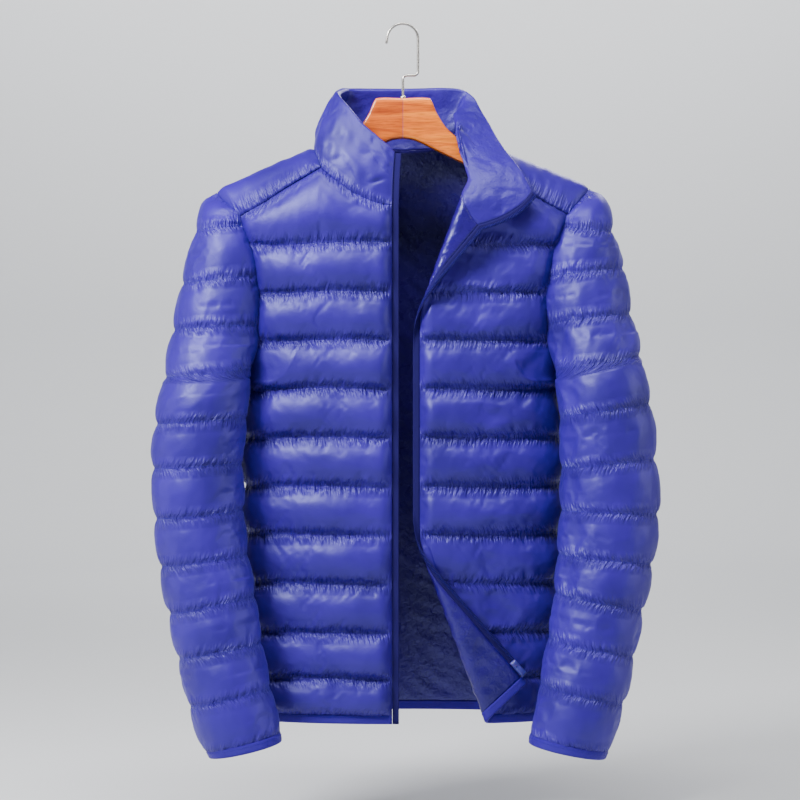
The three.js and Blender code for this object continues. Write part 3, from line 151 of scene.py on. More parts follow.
# Sleeves by quilting line: outer x z, inner x z, middle y, depth
SLEEVE_RIGHT = [
    (0, 228, -199, 172, -214, 0, 31),
    (0.33, 243, -211, 170, -223, -1, 37),
    (0.66, 249, -228, 170, -232, -3, 41),
    (1, 252.6, -246, 170, -241, -5, 44),
    (2, 267.7, -310, 174, -304, -11, 50),
    (3, 277.4, -367, 180, -360, -22, 52),
    (4, 285.4, -424, 184, -416, -42, 52),
    (5, 295, -481, 189, -473, -54, 51),
    (6, 298, -533, 194, -528, -58, 50),
    (7, 295, -594, 192, -583, -63, 50),
    (8, 288, -648, 186.5, -636, -69, 49),
    (9, 276.7, -704, 177.7, -685, -78, 48),
    (10, 265, -755, 169, -737.5, -88, 47),
    (11, 251, -810, 157.5, -790, -99, 45),
    (12, 231, -863, 145, -844, -106, 40),
]
SLEEVE_LEFT = [
    (0, 228, -195, 172, -212, 0, 31),
    (0.33, 243, -208, 170, -224, -1, 37),
    (0.66, 250, -226, 170, -236, -3, 41),
    (1, 255.2, -245, 170, -250, -5, 44),
    (2, 267.8, -291, 174, -306, -11, 50),
    (3, 275.1, -345, 180, -360, -22, 52),
    (4, 284.5, -399, 184, -417, -42, 52),
    (5, 295.2, -456, 189, -470, -54, 51),
    (6, 300.5, -522, 191, -531.5, -58, 50),
    (7, 303.4, -586.5, 190.6, -583, -63, 50),
    (8, 295.5, -646, 186.6, -634, -69, 50),
    (9, 283.8, -700, 182, -680, -78, 49),
    (10, 272.2, -754, 173.5, -731.5, -88, 47),
    (11, 259.2, -808.5, 163, -785, -99, 45),
    (12, 240.6, -864, 150, -846, -106, 40),
]
cap_end = curve(
    [0, 0.33, 0.66, 1, 1.25, 1.45, 1.72, 2, 2.35, 2.68, 3, 3.35, 3.68, 4, 4.22],
    [-230, -233.6, -237.1, -240.7, -251.3, -262, -281.5, -301.1, -320.6, -339.9, -359.3, -378.6, -394.8, -410.5, -427.9],
)
UNDERARM_LINE = 4.22
SLEEVE_LINES = 12
CUFF = 9.5
INSEAM = math.radians(-138)
SEAM_FADE = 1 / 2.6
UNDERARM_FADE = 0.9
SLEEVE_CLEAR, SLEEVE_CLEAR_REACH = 24, 28
SLEEVE_ROUND = 330
SLEEVE_WALL = 3.6


# Small helpers

def mix(a, b, t):
    return a + (b - a) * t


def clamp(x, low=0.0, high=1.0):
    return np.clip(x, low, high)


def settle(distance, reach):
    """Rises from 0 at an edge to 1 a little way into the cloth."""
    t = clamp(distance / reach)
    return t * (2 - t)


def smooth(t):
    t = clamp(t)
    return t * t * (3 - 2 * t)


def unit(v):
    return v / np.maximum(np.linalg.norm(v, axis=-1, keepdims=True), 1e-9)


def normals_of(points, outward, closed=False):
    """The way a grid of points faces; a closed grid's last column repeats its first."""
    if closed:
        wide = np.concatenate([points[:, -2:-1], points, points[:, 1:2]], axis=1)
        across = (wide[:, 2:] - wide[:, :-2]) / 2
    else:
        across = np.gradient(points, axis=1)
    down = np.gradient(points, axis=0)
    return unit(np.cross(across, down)) * outward


def waves(u, v, pitch, seed, count=9, lean=1.0):
    """Gentle noise from a few waves of about one pitch in every direction."""
    rng = np.random.default_rng(seed)
    total = np.zeros(np.broadcast(u, v).shape)
    for _ in range(count):
        way = rng.uniform(0, math.pi)
        size = 2 * math.pi / (pitch * rng.uniform(0.7, 1.6))
        total += np.sin(size * (u * math.cos(way) + v * lean * math.sin(way)) + rng.uniform(0, 6.28))
    return total / math.sqrt(count / 2)


# The body's inside surface

def shoulder_lift(side, x):
    return side["lift"] * clamp((x - NECK_X) / (SHOULDER_TIP_X - NECK_X))


def ridge(side, x):
    run = np.hypot(x, NECK_BLEND) - math.hypot(NECK_X, NECK_BLEND)
    return NECK_Z - SHOULDER_SLOPE * run + shoulder_lift(side, x)


def side_depth(x, z):
    share = np.minimum(1, np.abs(x) / body_half(z)) ** BODY_ROUND
    return BODY_DEPTH * np.maximum(0, 1 - share) ** (1 / BODY_ROUND)


def body_point(side, x, z, face):
    t = clamp((ridge(side, x) - z) / ARCH)
    depth = side_depth(x, z) * np.sqrt(1 - (1 - t) ** 2)
    return np.stack([side["sign"] * x, face * depth, z], axis=-1)


def arch_point(side, x, bend):
    z = ridge(side, x) - ARCH * (1 - np.cos(bend))
    return np.stack([side["sign"] * x, side_depth(x, z) * np.sin(bend), z], axis=-1)


def arch_bend(side, x, z, face):
    return face * np.arccos(clamp(1 - (ridge(side, x) - z) / ARCH))


def panel_top(side, face, x):
    neck, yoke = (neck_front, yoke_front) if face < 0 else (neck_back, yoke_back)
    return np.where(x <= YOKE_ENDS[face][0], neck(x), yoke(x)) + shoulder_lift(side, x)


def fold_start(fold, z):
    return fold["x"] + (z - fold["z"]) * fold["dx"] / fold["dz"]


def folded_point(side, x, z, face):
    """Points of a panel; the left front turns back over itself beyond its two fold lines."""
    plain = body_point(side, x, z, face)
    if side is RIGHT or face > 0:
        return plain
    for fold, near in ((LAPEL, z > LAPEL_END_Z), (CORNER, z < CORNER_START_Z)):
        dx, dz = fold["dx"], fold["dz"]
        up = math.copysign(1, dz)
        along = (x - fold["x"]) * dx + (z - fold["z"]) * dz
        beyond = -(x - fold["x"]) * abs(dz) + (z - fold["z"]) * dx * up
        turn = np.minimum(beyond / FOLD_RADIUS, math.pi)
        out = FOLD_RADIUS * np.sin(turn) - np.maximum(0, beyond - math.pi * FOLD_RADIUS)
        new_x = fold["x"] + along * dx - out * abs(dz)
        new_z = fold["z"] + along * dz + out * dx * up
        turned = body_point(side, new_x, new_z, face)
        turned[..., 1] -= FOLD_RADIUS * (1 - np.cos(turn))
        plain = np.where((near & (beyond > 0))[..., None], turned, plain)
    return plain


# Panels: rows know their channel and their share of it

def panel_rows(face):
    """(channel, share) of every row, with one on the foot of the armhole."""
    rows = []
    for channel in range(-1 if face > 0 else 0, len(BODY_LINES)):
        if channel == UNDERARM_CHANNEL:
            shares = [*np.linspace(0, UNDERARM_SHARE, 12)[:-1], UNDERARM_SHARE, 0.92]
        elif channel == -1:
            shares = np.linspace(0, 1, 15)[:-1]
        else:
            top = BODY_LINES[channel - 1] if channel > 0 else -200
            count = max(8, round((top - BODY_LINES[channel]) / CELL))
            shares = np.linspace(0, 1, count + 1)[:-1]
        rows += [(channel, share) for share in shares]
    return rows + [(len(BODY_LINES), 0)]


def row_z(channel, share, top, face):
    first = mix(top, BODY_LINES[0], BACK_TOP_LINE) if face > 0 else top
    if channel == -1:
        return mix(top, first, share)
    if channel == len(BODY_LINES):
        return np.full(np.shape(top), float(BODY_LINES[-1]))
    start = first if channel == 0 else BODY_LINES[channel - 1]
    return mix(start, BODY_LINES[channel], share) + 0 * top


ARC = 0.9
DROOP = 0.12
NECK_COLUMNS = {"right": 20, "left": 26}
SIDE_COLUMNS = 36


def panel_places(side, face):
    """Flat x and z of a panel's grid, from the front edge or the middle outwards."""
    start_x, corner_x, corner_z = YOKE_ENDS[face]
    folding = face < 0 and side is LEFT
    count = NECK_COLUMNS[side["name"]]
    edge = side["edge"] if face < 0 else 0
    all_x, all_z = [], []
    for number, (channel, share) in enumerate(panel_rows(face)):
        tip = np.array([corner_z + shoulder_lift(side, corner_x)], float)
        end_z = float(np.ravel(row_z(channel, share, tip, face))[0])
        if number == 0:
            end_x = corner_x
        elif end_z > UNDERARM_Z - 0.5:
            end_x = float((armhole_front if face < 0 else armhole_back)(end_z))
        else:
            end_x = float(body_half(end_z))
        column = float(shoulder_column(end_z)) if folding else start_x
        half = float(body_half(end_z))
        power = BODY_ROUND / 2
        bend = [math.asin(min(1, x / half) ** power) for x in (column, end_x)]
        outer = half * np.sin(np.linspace(*bend, SIDE_COLUMNS + 1)) ** (1 / power)
        outer[-1] = end_x
        x = np.concatenate([np.linspace(edge, column, count + 1)[:-1], outer])
        top_x = x.copy()
        top_x[count:] = mix(start_x, corner_x, (outer - column) / (end_x - column))
        all_x.append(x)
        all_z.append(row_z(channel, share, panel_top(side, face, top_x), face))
    return np.array(all_x), np.array(all_z)


def quilt(share):
    """The swell of one channel between two lines, an arc; the filling hangs a little low."""
    t = clamp(share) ** (1 + DROOP)
    low = math.sqrt(1 - ARC * ARC)
    return (np.sqrt(1 - (ARC * (2 * t - 1)) ** 2) - low) / (1 - low)


class Grid:
    """Inside points of a piece, the way they face, and where each lies on the cloth."""

    def __init__(self, name, points, outward, line, share, closed_from=None):
        self.name, self.points, self.closed_from = name, points, closed_from
        self.outward = outward
        self.line = np.broadcast_to(np.asarray(line, float).reshape(len(points), -1), points.shape[:2])
        self.share = np.broadcast_to(np.asarray(share, float).reshape(len(points), -1), points.shape[:2])
        self.normals = normals_of(points, outward)
        if closed_from is not None:
            looped = normals_of(points, outward, closed=True)
            self.normals[closed_from:] = looped[closed_from:]


def front_grid(side):
    rows = panel_rows(-1)
    x, z = panel_places(side, -1)
    grid = Grid("front_" + side["name"], folded_point(side, x, z, -1), -side["sign"],
                [r[0] for r in rows], [r[1] for r in rows])
    grid.x, grid.z, grid.side = x, z, side
    return grid


def back_grid():
    rows = panel_rows(1)
    halves = {}
    for side in (RIGHT, LEFT):
        x, z = panel_places(side, 1)
        halves[side["name"]] = (x, z, body_point(side, x, z, 1))
    right, left = halves["right"], halves["left"]
    join = [np.concatenate([a[:, ::-1], b[:, 1:]], axis=1) for a, b in zip(right, left)]
    grid = Grid("back", join[2], 1, [r[0] for r in rows], [r[1] for r in rows])
    grid.x, grid.z, grid.middle = join[0], join[1], right[0].shape[1] - 1
    return grid


def armpit(z):
    return clamp(1.4 - np.abs(z - ARMPIT_Z) / ARMPIT_REACH)


def panel_wall(grid):
    """Wall of a front or the back: thin on its lines, at its edges and where it folds."""
    rows, columns = grid.points.shape[:2]
    steps = np.cumsum(np.linalg.norm(np.diff(grid.points, axis=1), axis=2), axis=1)
    run = np.concatenate([np.zeros((rows, 1)), steps], axis=1)
    to_end = run[:, -1:] - run
    front = grid.name != "back"
    from_side = to_end if front else np.minimum(run, to_end)
    puff = mix(SIDE_PUFF, BODY_PUFF, settle(from_side, 60))
    puff = mix(puff, ARMPIT_PUFF, armpit(grid.z) * clamp(1 - (from_side - 14) / 45))
    if not front:
        puff = np.where(grid.line < 0, puff * BACK_NECK_SHARE, puff)
    if front and grid.side is LEFT:
        for fold, near in ((LAPEL, grid.z > LAPEL_END_Z), (CORNER, grid.z < CORNER_START_Z)):
            start = fold_start(fold, grid.z)
            folds = clamp((start - grid.side["edge"]) / 30)
            under = mix(LAPEL_PUFF, UNDER_LAPEL_PUFF, clamp((grid.x - start) / 30))
            covered = mix(under, BODY_PUFF, clamp((grid.x - start - 60) / 50))
            puff = np.where(near, mix(puff, np.minimum(puff, covered), folds), puff)
    edges = settle(np.minimum(run, to_end), 16) if front else settle(from_side, 16)
    return puff, edges


# Yokes, collar and sleeves

def yoke_grid(side, front, back):
    start = NECK_COLUMNS[side["name"]]
    front_x, front_z = front.x[0, start:], front.z[0, start:]
    if side is LEFT:
        back_x, back_z = back.x[0, back.middle + start:], back.z[0, back.middle + start:]
    else:
        back_x, back_z = back.x[0, :SIDE_COLUMNS + 1][::-1], back.z[0, :SIDE_COLUMNS + 1][::-1]
    bend_front, bend_back = arch_bend(side, front_x, front_z, -1), arch_bend(side, back_x, back_z, 1)
    halfway = mix(NECK_HALFWAY_X, SHOULDER_TIP_X, np.linspace(0, 1, SIDE_COLUMNS + 1))
    points = []
    for t in np.linspace(0, 1, 19):
        bend = mix(bend_front, bend_back, t)
        ahead = bend < 0
        bulge = np.where(ahead, 1 - bend / bend_front, 1 - bend / bend_back)
        straight = np.where(ahead, front_x, back_x)
        points.append(arch_point(side, mix(straight, halfway, bulge * (2 - bulge)), bend))
    points = np.array(points)
    return Grid("yoke_" + side["name"], points, side["sign"], np.zeros(len(points)), np.linspace(0, 1, len(points)))


def run_of(points):
    steps = np.linalg.norm(np.diff(points, axis=0), axis=1)
    return np.concatenate([[0], np.cumsum(steps)])


def neckline(fronts, yokes, back):
    """The body's neck edge, from the right front's edge round the back to the left front's."""
    right, left = NECK_COLUMNS["right"], NECK_COLUMNS["left"]
    low, high = back.middle - right, back.middle + left
    parts = [
        fronts["right"].points[0, :right + 1],
        yokes["right"].points[1:-1, 0],
        back.points[0, low:high + 1],
        yokes["left"].points[-2:0:-1, 0],
        fronts["left"].points[0, left::-1],
    ]
    return np.concatenate(parts)


COLLAR_ROWS = 26
COLLAR_TOP = 0.7


def collar_grid(ring):
    run = run_of(ring)
    middle = int(np.argmin(np.abs(ring[:, 0]) + np.where(ring[:, 1] < 0, 1000, 0)))
    at = np.abs(run - run[middle]) / np.where(np.arange(len(run)) < middle, run[middle], run[-1] - run[middle])
    ribs = np.zeros((len(run), 7))
    for table, sign, part in ((COLLAR_RIGHT, -1, slice(0, middle)), (COLLAR_LEFT, 1, slice(middle, None))):
        for k, column in enumerate(curves(table)):
            ribs[part, k] = column(at[part]) * (sign if k in (0, 3) else 1)
    v = np.linspace(0, 1, COLLAR_ROWS + 1)[:, None, None]
    mid, top = ribs[:, 0:3], ribs[:, 3:6]
    points = (1 - v) * (1 - 2 * v) * ring + 4 * v * (1 - v) * mid + v * (2 * v - 1) * top
    grid = Grid("collar", points, -1, np.zeros(len(points)), v[:, 0, 0])
    grid.puff, grid.at, grid.middle = ribs[:, 6], at, middle
    return grid


def sleeve_section(side, table, line, angle):
    outer_x, outer_z, inner_x, inner_z, middle_y, depth = [float(column(line)) for column in table]
    across = ((outer_x - inner_x) / 2 - SLEEVE_WALL) * np.cos(angle)
    tilt = (outer_z - inner_z) / (outer_x - inner_x)
    x = (outer_x + inner_x) / 2 + across
    z = (outer_z + inner_z) / 2 + across * tilt
    return np.stack([side["sign"] * x, middle_y - (depth - SLEEVE_WALL) * np.sin(angle), z], axis=-1)


def angle_towards(side, table, line, point):
    outer_x, _, inner_x, _, middle_y, depth = [float(column(line)) for column in table]
    x = side["sign"] * point[0] - (outer_x + inner_x) / 2
    half = (outer_x - inner_x) / 2 - SLEEVE_WALL
    return math.atan2(-(point[1] - middle_y) / (depth - SLEEVE_WALL), x / half)


def near_seam(u):
    return np.maximum(0, 1 - u / SEAM_FADE) ** 2


def under_arm(line):
    return max(0, 1 - max(0, line - UNDERARM_LINE) / UNDERARM_FADE) ** 2


def clear_of_body(side, points, margin):
    share = np.minimum(1, np.abs(points[:, 1]) / (BODY_DEPTH + margin))
    limit = (body_half(points[:, 2]) + margin) * (1 - share**BODY_ROUND) ** (1 / BODY_ROUND)
    out = np.maximum(side["sign"] * points[:, 0], np.where(margin > 0, limit, -1e9))
    points[:, 0] = side["sign"] * out


SLEEVE_COLUMNS = 84


def sleeve_lines():
    cap = [*np.linspace(0, 1, 9)[:-1], *np.linspace(1, 4, 43)[:-1], *np.linspace(4, UNDERARM_LINE, 4)]
    tube = [*np.linspace(UNDERARM_LINE, 5, 12)[1:]]
    for line in range(5, SLEEVE_LINES):
        tube += [*np.linspace(line, line + 1, 15)[1:]]
    return np.array(cap + tube), len(cap) - 1


def sleeve_grid(side, table, yoke):
    table = curves(table)
    lines, closed_from = sleeve_lines()
    turn = 2 * math.pi
    u = np.linspace(0, 1, SLEEVE_COLUMNS + 1)
    corner = {face: YOKE_ENDS[face] for face in (-1, 1)}
    rows, under = [], None
    for number, line in enumerate(lines):
        cap = number <= closed_from
        if cap:
            end_z = float(cap_end(line))
            ends = []
            for face, hole in ((-1, armhole_front), (1, armhole_back)):
                x = corner[face][1] if number == 0 else float(hole(end_z))
                z = corner[face][2] + shoulder_lift(side, corner[face][1]) if number == 0 else end_z
                ends.append(body_point(side, np.array(x), np.array(float(z)), face))
            start = angle_towards(side, table, line, ends[0]) % turn
            stop = angle_towards(side, table, line, ends[1])
            stop -= turn if stop > 0 else 0
            if number == closed_from:
                stop = start - turn
                under = (start, ends[0] - sleeve_section(side, table, line, start))
        else:
            ease = smooth((line - UNDERARM_LINE) / 1.2)
            start = mix(under[0], INSEAM + turn, ease)
            stop = start - turn
        row = sleeve_section(side, table, line, mix(start, stop, u))
        near, far = near_seam(u)[:, None], near_seam(1 - u)[:, None]
        if cap:
            row = row + (ends[0] - row[0]) * near + (ends[1] - row[-1]) * far
        else:
            row = row + under[1] * under_arm(line) * (near + far)
        rows.append(row)
    points = np.array(rows)
    top = yoke.points[:, -1]
    reach = run_of(top) / run_of(top)[-1]
    edge = np.stack([np.interp(u, reach, top[:, k]) for k in range(3)], axis=-1)
    plain = points[0].copy()
    for r in np.flatnonzero(lines < 1):
        points[r] += (edge - plain) * (1 - lines[r]) ** 2
    apart = clamp(np.minimum(u, 1 - u) * SLEEVE_ROUND / SLEEVE_CLEAR_REACH)
    for r in np.flatnonzero((lines > 2.8) & (lines < 11.5)):
        come = smooth((lines[r] - 2.8) / 0.7) * smooth((11.5 - lines[r]) / 0.7)
        margin = SLEEVE_CLEAR * np.maximum(1 - under_arm(lines[r]), apart) * come
        clear_of_body(side, points[r], margin)
    for r in range(closed_from + 1):
        for c in (0, -1):
            points[r, c, 0] += side["sign"] * GAP
    points[0, 1:-1, 0] += side["sign"] * GAP
    whole = np.floor(lines + 1e-6)
    grid = Grid("sleeve_" + side["name"], points, -side["sign"], whole, lines - whole, closed_from)
    grid.lines, grid.side = lines, side
    return grid


def sleeve_wall(grid):
    u = np.linspace(0, 1, SLEEVE_COLUMNS + 1)
    from_edge = np.broadcast_to(np.minimum(u, 1 - u) * SLEEVE_ROUND, grid.points.shape[:2]).copy()
    from_edge[grid.closed_from + 1:] = SLEEVE_ROUND
    facing = clamp((-grid.side["sign"] * grid.normals[..., 0] - 0.2) / 0.5)
    inside = mix(SLEEVE_INSIDE_PUFF, ARMPIT_PUFF, armpit(grid.points[..., 2]))
    puff = mix(SLEEVE_PUFF, inside, facing)
    edges = settle(from_edge, 20) * settle(grid.lines, 0.25)[:, None]
    return puff, edges


# Cloth simulation: pressure swells the quilted cloth between its lines, which are held

SIM_FRAMES = 14
SIM_CAP = 6.0


def grid_faces(rows, columns, offset=0, closed_from=None):
    """Quads of a grid; rows from closed_from on join their last column to their first."""
    r, c = np.meshgrid(np.arange(rows - 1), np.arange(columns - 1), indexing="ij")
    ids = offset + np.arange(rows * columns).reshape(rows, columns)
    if closed_from is not None:
        ids = ids.copy()
        ids[closed_from:, -1] = ids[closed_from:, 0]
    quads = np.stack([ids[r, c], ids[r, c + 1], ids[r + 1, c + 1], ids[r + 1, c]], axis=-1)
    return quads.reshape(-1, 4)


def mesh_of(name, points, faces, drop=HANG):
    mesh = bpy.data.meshes.new(name)
    faces = [tuple(int(i) for i in face) for face in faces]
    points = (np.asarray(points, float) - (0, 0, drop)) * MM
    mesh.from_pydata([tuple(p) for p in points.tolist()], [], faces)
    mesh.update()
    return mesh


def inflate(pieces):
    """Runs every piece's cloth together and returns where its points end up, capped."""
    scene = bpy.context.scene
    objects = []
    for name, outer, held, closed_from in pieces:
        rows, columns = outer.shape[:2]
        mesh = mesh_of(name, outer.reshape(-1, 3), grid_faces(rows, columns, 0, closed_from))
        obj = bpy.data.objects.new(name, mesh)
        scene.collection.objects.link(obj)
        group = obj.vertex_groups.new(name="held")
        group.add([int(i) for i in np.flatnonzero(held.ravel())], 1.0, "REPLACE")
        cloth = obj.modifiers.new("Cloth", "CLOTH")
        s = cloth.settings
        s.quality = 4
        s.mass = 0.3
        s.tension_stiffness = s.compression_stiffness = 12
        s.shear_stiffness = 4
        s.bending_stiffness = 0.35
        s.air_damping = 1.5
        s.vertex_group_mass = "held"
        s.use_pressure = True
        s.uniform_pressure_force = 2.5
        s.shrink_min = -0.004
        s.effector_weights.gravity = 0
        cloth.collision_settings.use_collision = False
        cloth.point_cache.frame_start, cloth.point_cache.frame_end = 1, SIM_FRAMES
        objects.append(obj)
    for number in range(1, SIM_FRAMES + 1):
        scene.frame_set(number)
    graph = bpy.context.evaluated_depsgraph_get()
    results = []
    for obj, (name, outer, held, closed_from) in zip(objects, pieces):
        mesh = obj.evaluated_get(graph).to_mesh()
        data = np.empty(len(mesh.vertices) * 3)
        mesh.vertices.foreach_get("co", data)
        moved = data.reshape(outer.shape) / MM + (0, 0, HANG)
        if closed_from is not None:
            moved[closed_from:, -1] = moved[closed_from:, 0]
        shift = moved - outer
        size = np.linalg.norm(shift, axis=-1, keepdims=True)
        results.append(outer + shift * np.minimum(1, SIM_CAP / np.maximum(size, 1e-9)))
        bpy.data.objects.remove(obj)
    scene.frame_set(1)
    return results


# Finer grids: every second point is new and lies on a smooth curve through its neighbours

def finer(a, axis, wrap_rows=None):
    a = np.moveaxis(a, axis, 0)
    before = np.concatenate([2 * a[:1] - a[1:2], a[:-2]]) if len(a) > 2 else a[:-1]
    after = np.concatenate([a[2:], 2 * a[-1:] - a[-2:-1]]) if len(a) > 2 else a[1:]
    if wrap_rows is not None:
        before[0][wrap_rows] = a[-2][wrap_rows]
        after[-1][wrap_rows] = a[1][wrap_rows]
    middle = (9 * (a[:-1] + a[1:]) - before - after) / 16
    out = np.empty((2 * len(a) - 1, *a.shape[1:]))
    out[::2], out[1::2] = a, middle
    return np.moveaxis(out, 0, axis)


def finer_rows(a):
    """Straight between rows, for what changes suddenly on a quilting line."""
    out = np.empty((2 * len(a) - 1, *a.shape[1:]))
    out[::2], out[1::2] = a, (a[:-1] + a[1:]) / 2
    return out


def gathers(along, from_line, number, seed, pitch=6.5, strength=1.0):
    """Puckers that run into the cloth from a seam: many short grooves, some of them slanted.

    along is the distance along the seam, from_line the distance from it, and number
    tells the seams of a piece apart."""
    depth = np.zeros(along.shape)
    rng = np.random.default_rng(seed)
    for seam in np.unique(number):
        rows = np.flatnonzero((number == seam).any(axis=1))
        if len(rows) == 0:
            continue
        part = slice(rows[0], rows[-1] + 1)
        s, v = along[part], from_line[part]
        mine = number[part] == seam
        length = float(s.max())
        at = 0.0
        columns = s.shape[1]
        while at < length:
            at += pitch * rng.uniform(0.45, 1.7)
            reach = rng.choice([rng.uniform(7, 13), rng.uniform(12, 26)], p=[0.6, 0.4])
            width = rng.uniform(1.3, 2.5) * (0.8 + reach / 40)
            size = rng.uniform(0.8, 2.2) * strength
            slant = rng.normal(0, 0.32)
            bow = rng.normal(0, 0.012)
            span = reach * (abs(slant) + 0.4) + 4 * width
            low = int(max(0, (at - span) / length * columns))
            high = int(min(columns, (at + span) / length * columns + 2))
            if high - low < 2:
                continue
            near = (slice(None), slice(low, high))
            d = s[near] - at - slant * v[near] - bow * v[near] ** 2
            fall = clamp(1 - v[near] / reach) ** 1.3 * clamp(v[near] / 2.2 + 0.25)
            depth[part][near] -= np.where(mine[near], size * np.exp(-((d / width) ** 2)) * fall, 0)
    return depth


def lay_out(mesh, used, cloth, inner_count):
    """Stores the place on the cloth, along its seams and off the nearest one, as a UV map."""
    along, off = cloth
    u = np.concatenate([along.ravel(), np.zeros(inner_count)])[used] * MM
    v = np.concatenate([off.ravel(), np.full(inner_count, 99.0)])[used] * MM
    corners = np.empty(len(mesh.loops), np.int32)
    mesh.loops.foreach_get("vertex_index", corners)
    layer = mesh.uv_layers.new(name="cloth")
    layer.data.foreach_set("uv", np.stack([u[corners], v[corners]], axis=-1).ravel())


def shell(name, inner, outer, looks, closed_from=None, cad=None, cloth=None):
    """A closed cloth solid: a fine outside, a coarser lining, and a strip that joins their edges.

    The outside has two cells for each cell of the lining."""
    rows, columns = inner.shape[:2]
    fine_rows, fine_columns = outer.shape[:2]
    closed_fine = None if closed_from is None else 2 * closed_from
    out_faces = grid_faces(fine_rows, fine_columns, 0, closed_fine)
    start = fine_rows * fine_columns
    in_faces = grid_faces(rows, columns, start, closed_from)[:, ::-1]
    out_id = np.arange(start).reshape(fine_rows, fine_columns)
    in_id = start + np.arange(rows * columns).reshape(rows, columns)
    if closed_from is not None:
        out_id[closed_fine:, -1] = out_id[closed_fine:, 0]
        in_id[closed_from:, -1] = in_id[closed_from:, 0]
    strip = []

    def edge(fine, coarse, flip):
        for k in range(len(coarse) - 1):
            f0, f1, f2 = fine[2 * k], fine[2 * k + 1], fine[2 * k + 2]
            c0, c1 = coarse[k], coarse[k + 1]
            for face in ((f0, f1, c0), (f1, c1, c0), (f1, f2, c1)):
                strip.append(face[::-1] if flip else face)

    edge(out_id[0], in_id[0], True)
    edge(out_id[-1], in_id[-1], False)
    side_rows = rows if closed_from is None else closed_from + 1
    if side_rows > 1:
        edge(out_id[:2 * side_rows - 1, 0], in_id[:side_rows, 0], False)
        edge(out_id[:2 * side_rows - 1, -1], in_id[:side_rows, -1], True)
    points = np.concatenate([outer.reshape(-1, 3), inner.reshape(-1, 3)])
    used = np.zeros(len(points), bool)
    faces = [*map(tuple, out_faces.tolist()), *map(tuple, in_faces.tolist())]
    faces += [tuple(int(i) for i in face) for face in strip]
    for face in faces:
        used[list(face)] = True
    number = np.cumsum(used) - 1
    faces = [tuple(int(number[i]) for i in face) for face in faces]
    mesh = mesh_of(name, points[used], faces)
    if cloth is not None:
        lay_out(mesh, used, cloth, rows * columns)
    for look in looks:
        mesh.materials.append(look)
    kinds = np.zeros(len(faces), np.int32)
    kinds[len(out_faces):len(out_faces) + len(in_faces)] = len(looks) - 1
    mesh.polygons.foreach_set("material_index", kinds)
    mesh.polygons.foreach_set("use_smooth", np.ones(len(faces), bool))
    mesh.update()
    return place(name, mesh, cad)


def place(name, mesh, cad=None):
    obj = bpy.data.objects.new(name, mesh)
    bpy.context.scene.collection.objects.link(obj)
    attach(obj, "root")
    if cad:
        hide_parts(*([cad] if isinstance(cad, str) else cad))
    face_out(mesh)
    return obj


def face_out(mesh):
    """Turns a closed mesh's faces outwards if its volume comes out negative."""
    import bmesh
    bm = bmesh.new()
    bm.from_mesh(mesh)
    if bm.calc_volume(signed=True) < 0:
        bmesh.ops.reverse_faces(bm, faces=bm.faces)
        bm.to_mesh(mesh)
    bm.free()


# Materials

def new_look(name):
    look = bpy.data.materials.new(name)
    look.use_nodes = True
    nodes = look.node_tree.nodes
    return look, nodes, look.node_tree.links, nodes["Principled BSDF"]


def add(nodes, kind, **values):
    node = nodes.new(kind)
    for key, value in values.items():
        if hasattr(node, key) and key not in node.inputs:
            setattr(node, key, value)
        else:
            node.inputs[key].default_value = value
    return node


def ramp(nodes, stops):
    node = nodes.new("ShaderNodeValToRGB")
    elements = node.color_ramp.elements
    elements[0].position, elements[0].color = stops[0][0], (*stops[0][1], 1)
    elements[1].position, elements[1].color = stops[-1][0], (*stops[-1][1], 1)
    for at, colour in stops[1:-1]:
        elements.new(at).color = (*colour, 1)
    return node


def gather_height(nodes, links):
    """Fine puckers beside every seam, from the cloth's own coordinates."""
    uv = add(nodes, "ShaderNodeUVMap", uv_map="cloth")
    split = add(nodes, "ShaderNodeSeparateXYZ")
    links.new(uv.outputs["UV"], split.inputs["Vector"])
    place_at = add(nodes, "ShaderNodeNewGeometry")
    height = add(nodes, "ShaderNodeSeparateXYZ")
    links.new(place_at.outputs["Position"], height.inputs["Vector"])
    off = add(nodes, "ShaderNodeMath", operation="MULTIPLY")
    off.inputs[1].default_value = 0.14
    links.new(split.outputs["Y"], off.inputs[0])
    level = add(nodes, "ShaderNodeMath", operation="MULTIPLY")
    level.inputs[1].default_value = 0.13
    links.new(height.outputs["Z"], level.inputs[0])
    join = add(nodes, "ShaderNodeCombineXYZ")
    links.new(split.outputs["X"], join.inputs["X"])
    links.new(off.outputs["Value"], join.inputs["Y"])
    links.new(level.outputs["Value"], join.inputs["Z"])
    folds = add(nodes, "ShaderNodeTexNoise", Scale=300.0, Detail=2.0, Roughness=0.55)
    links.new(join.outputs["Vector"], folds.inputs["Vector"])
    fade = add(nodes, "ShaderNodeMapRange", **{"From Min": 0.0, "From Max": 0.015, "To Min": 1.0, "To Max": 0.0})
    fade.interpolation_type = "SMOOTHSTEP"
    links.new(split.outputs["Y"], fade.inputs["Value"])
    both = add(nodes, "ShaderNodeMath", operation="MULTIPLY")
    links.new(folds.outputs["Fac"], both.inputs[0])
    links.new(fade.outputs["Result"], both.inputs[1])
    return both.outputs["Value"]


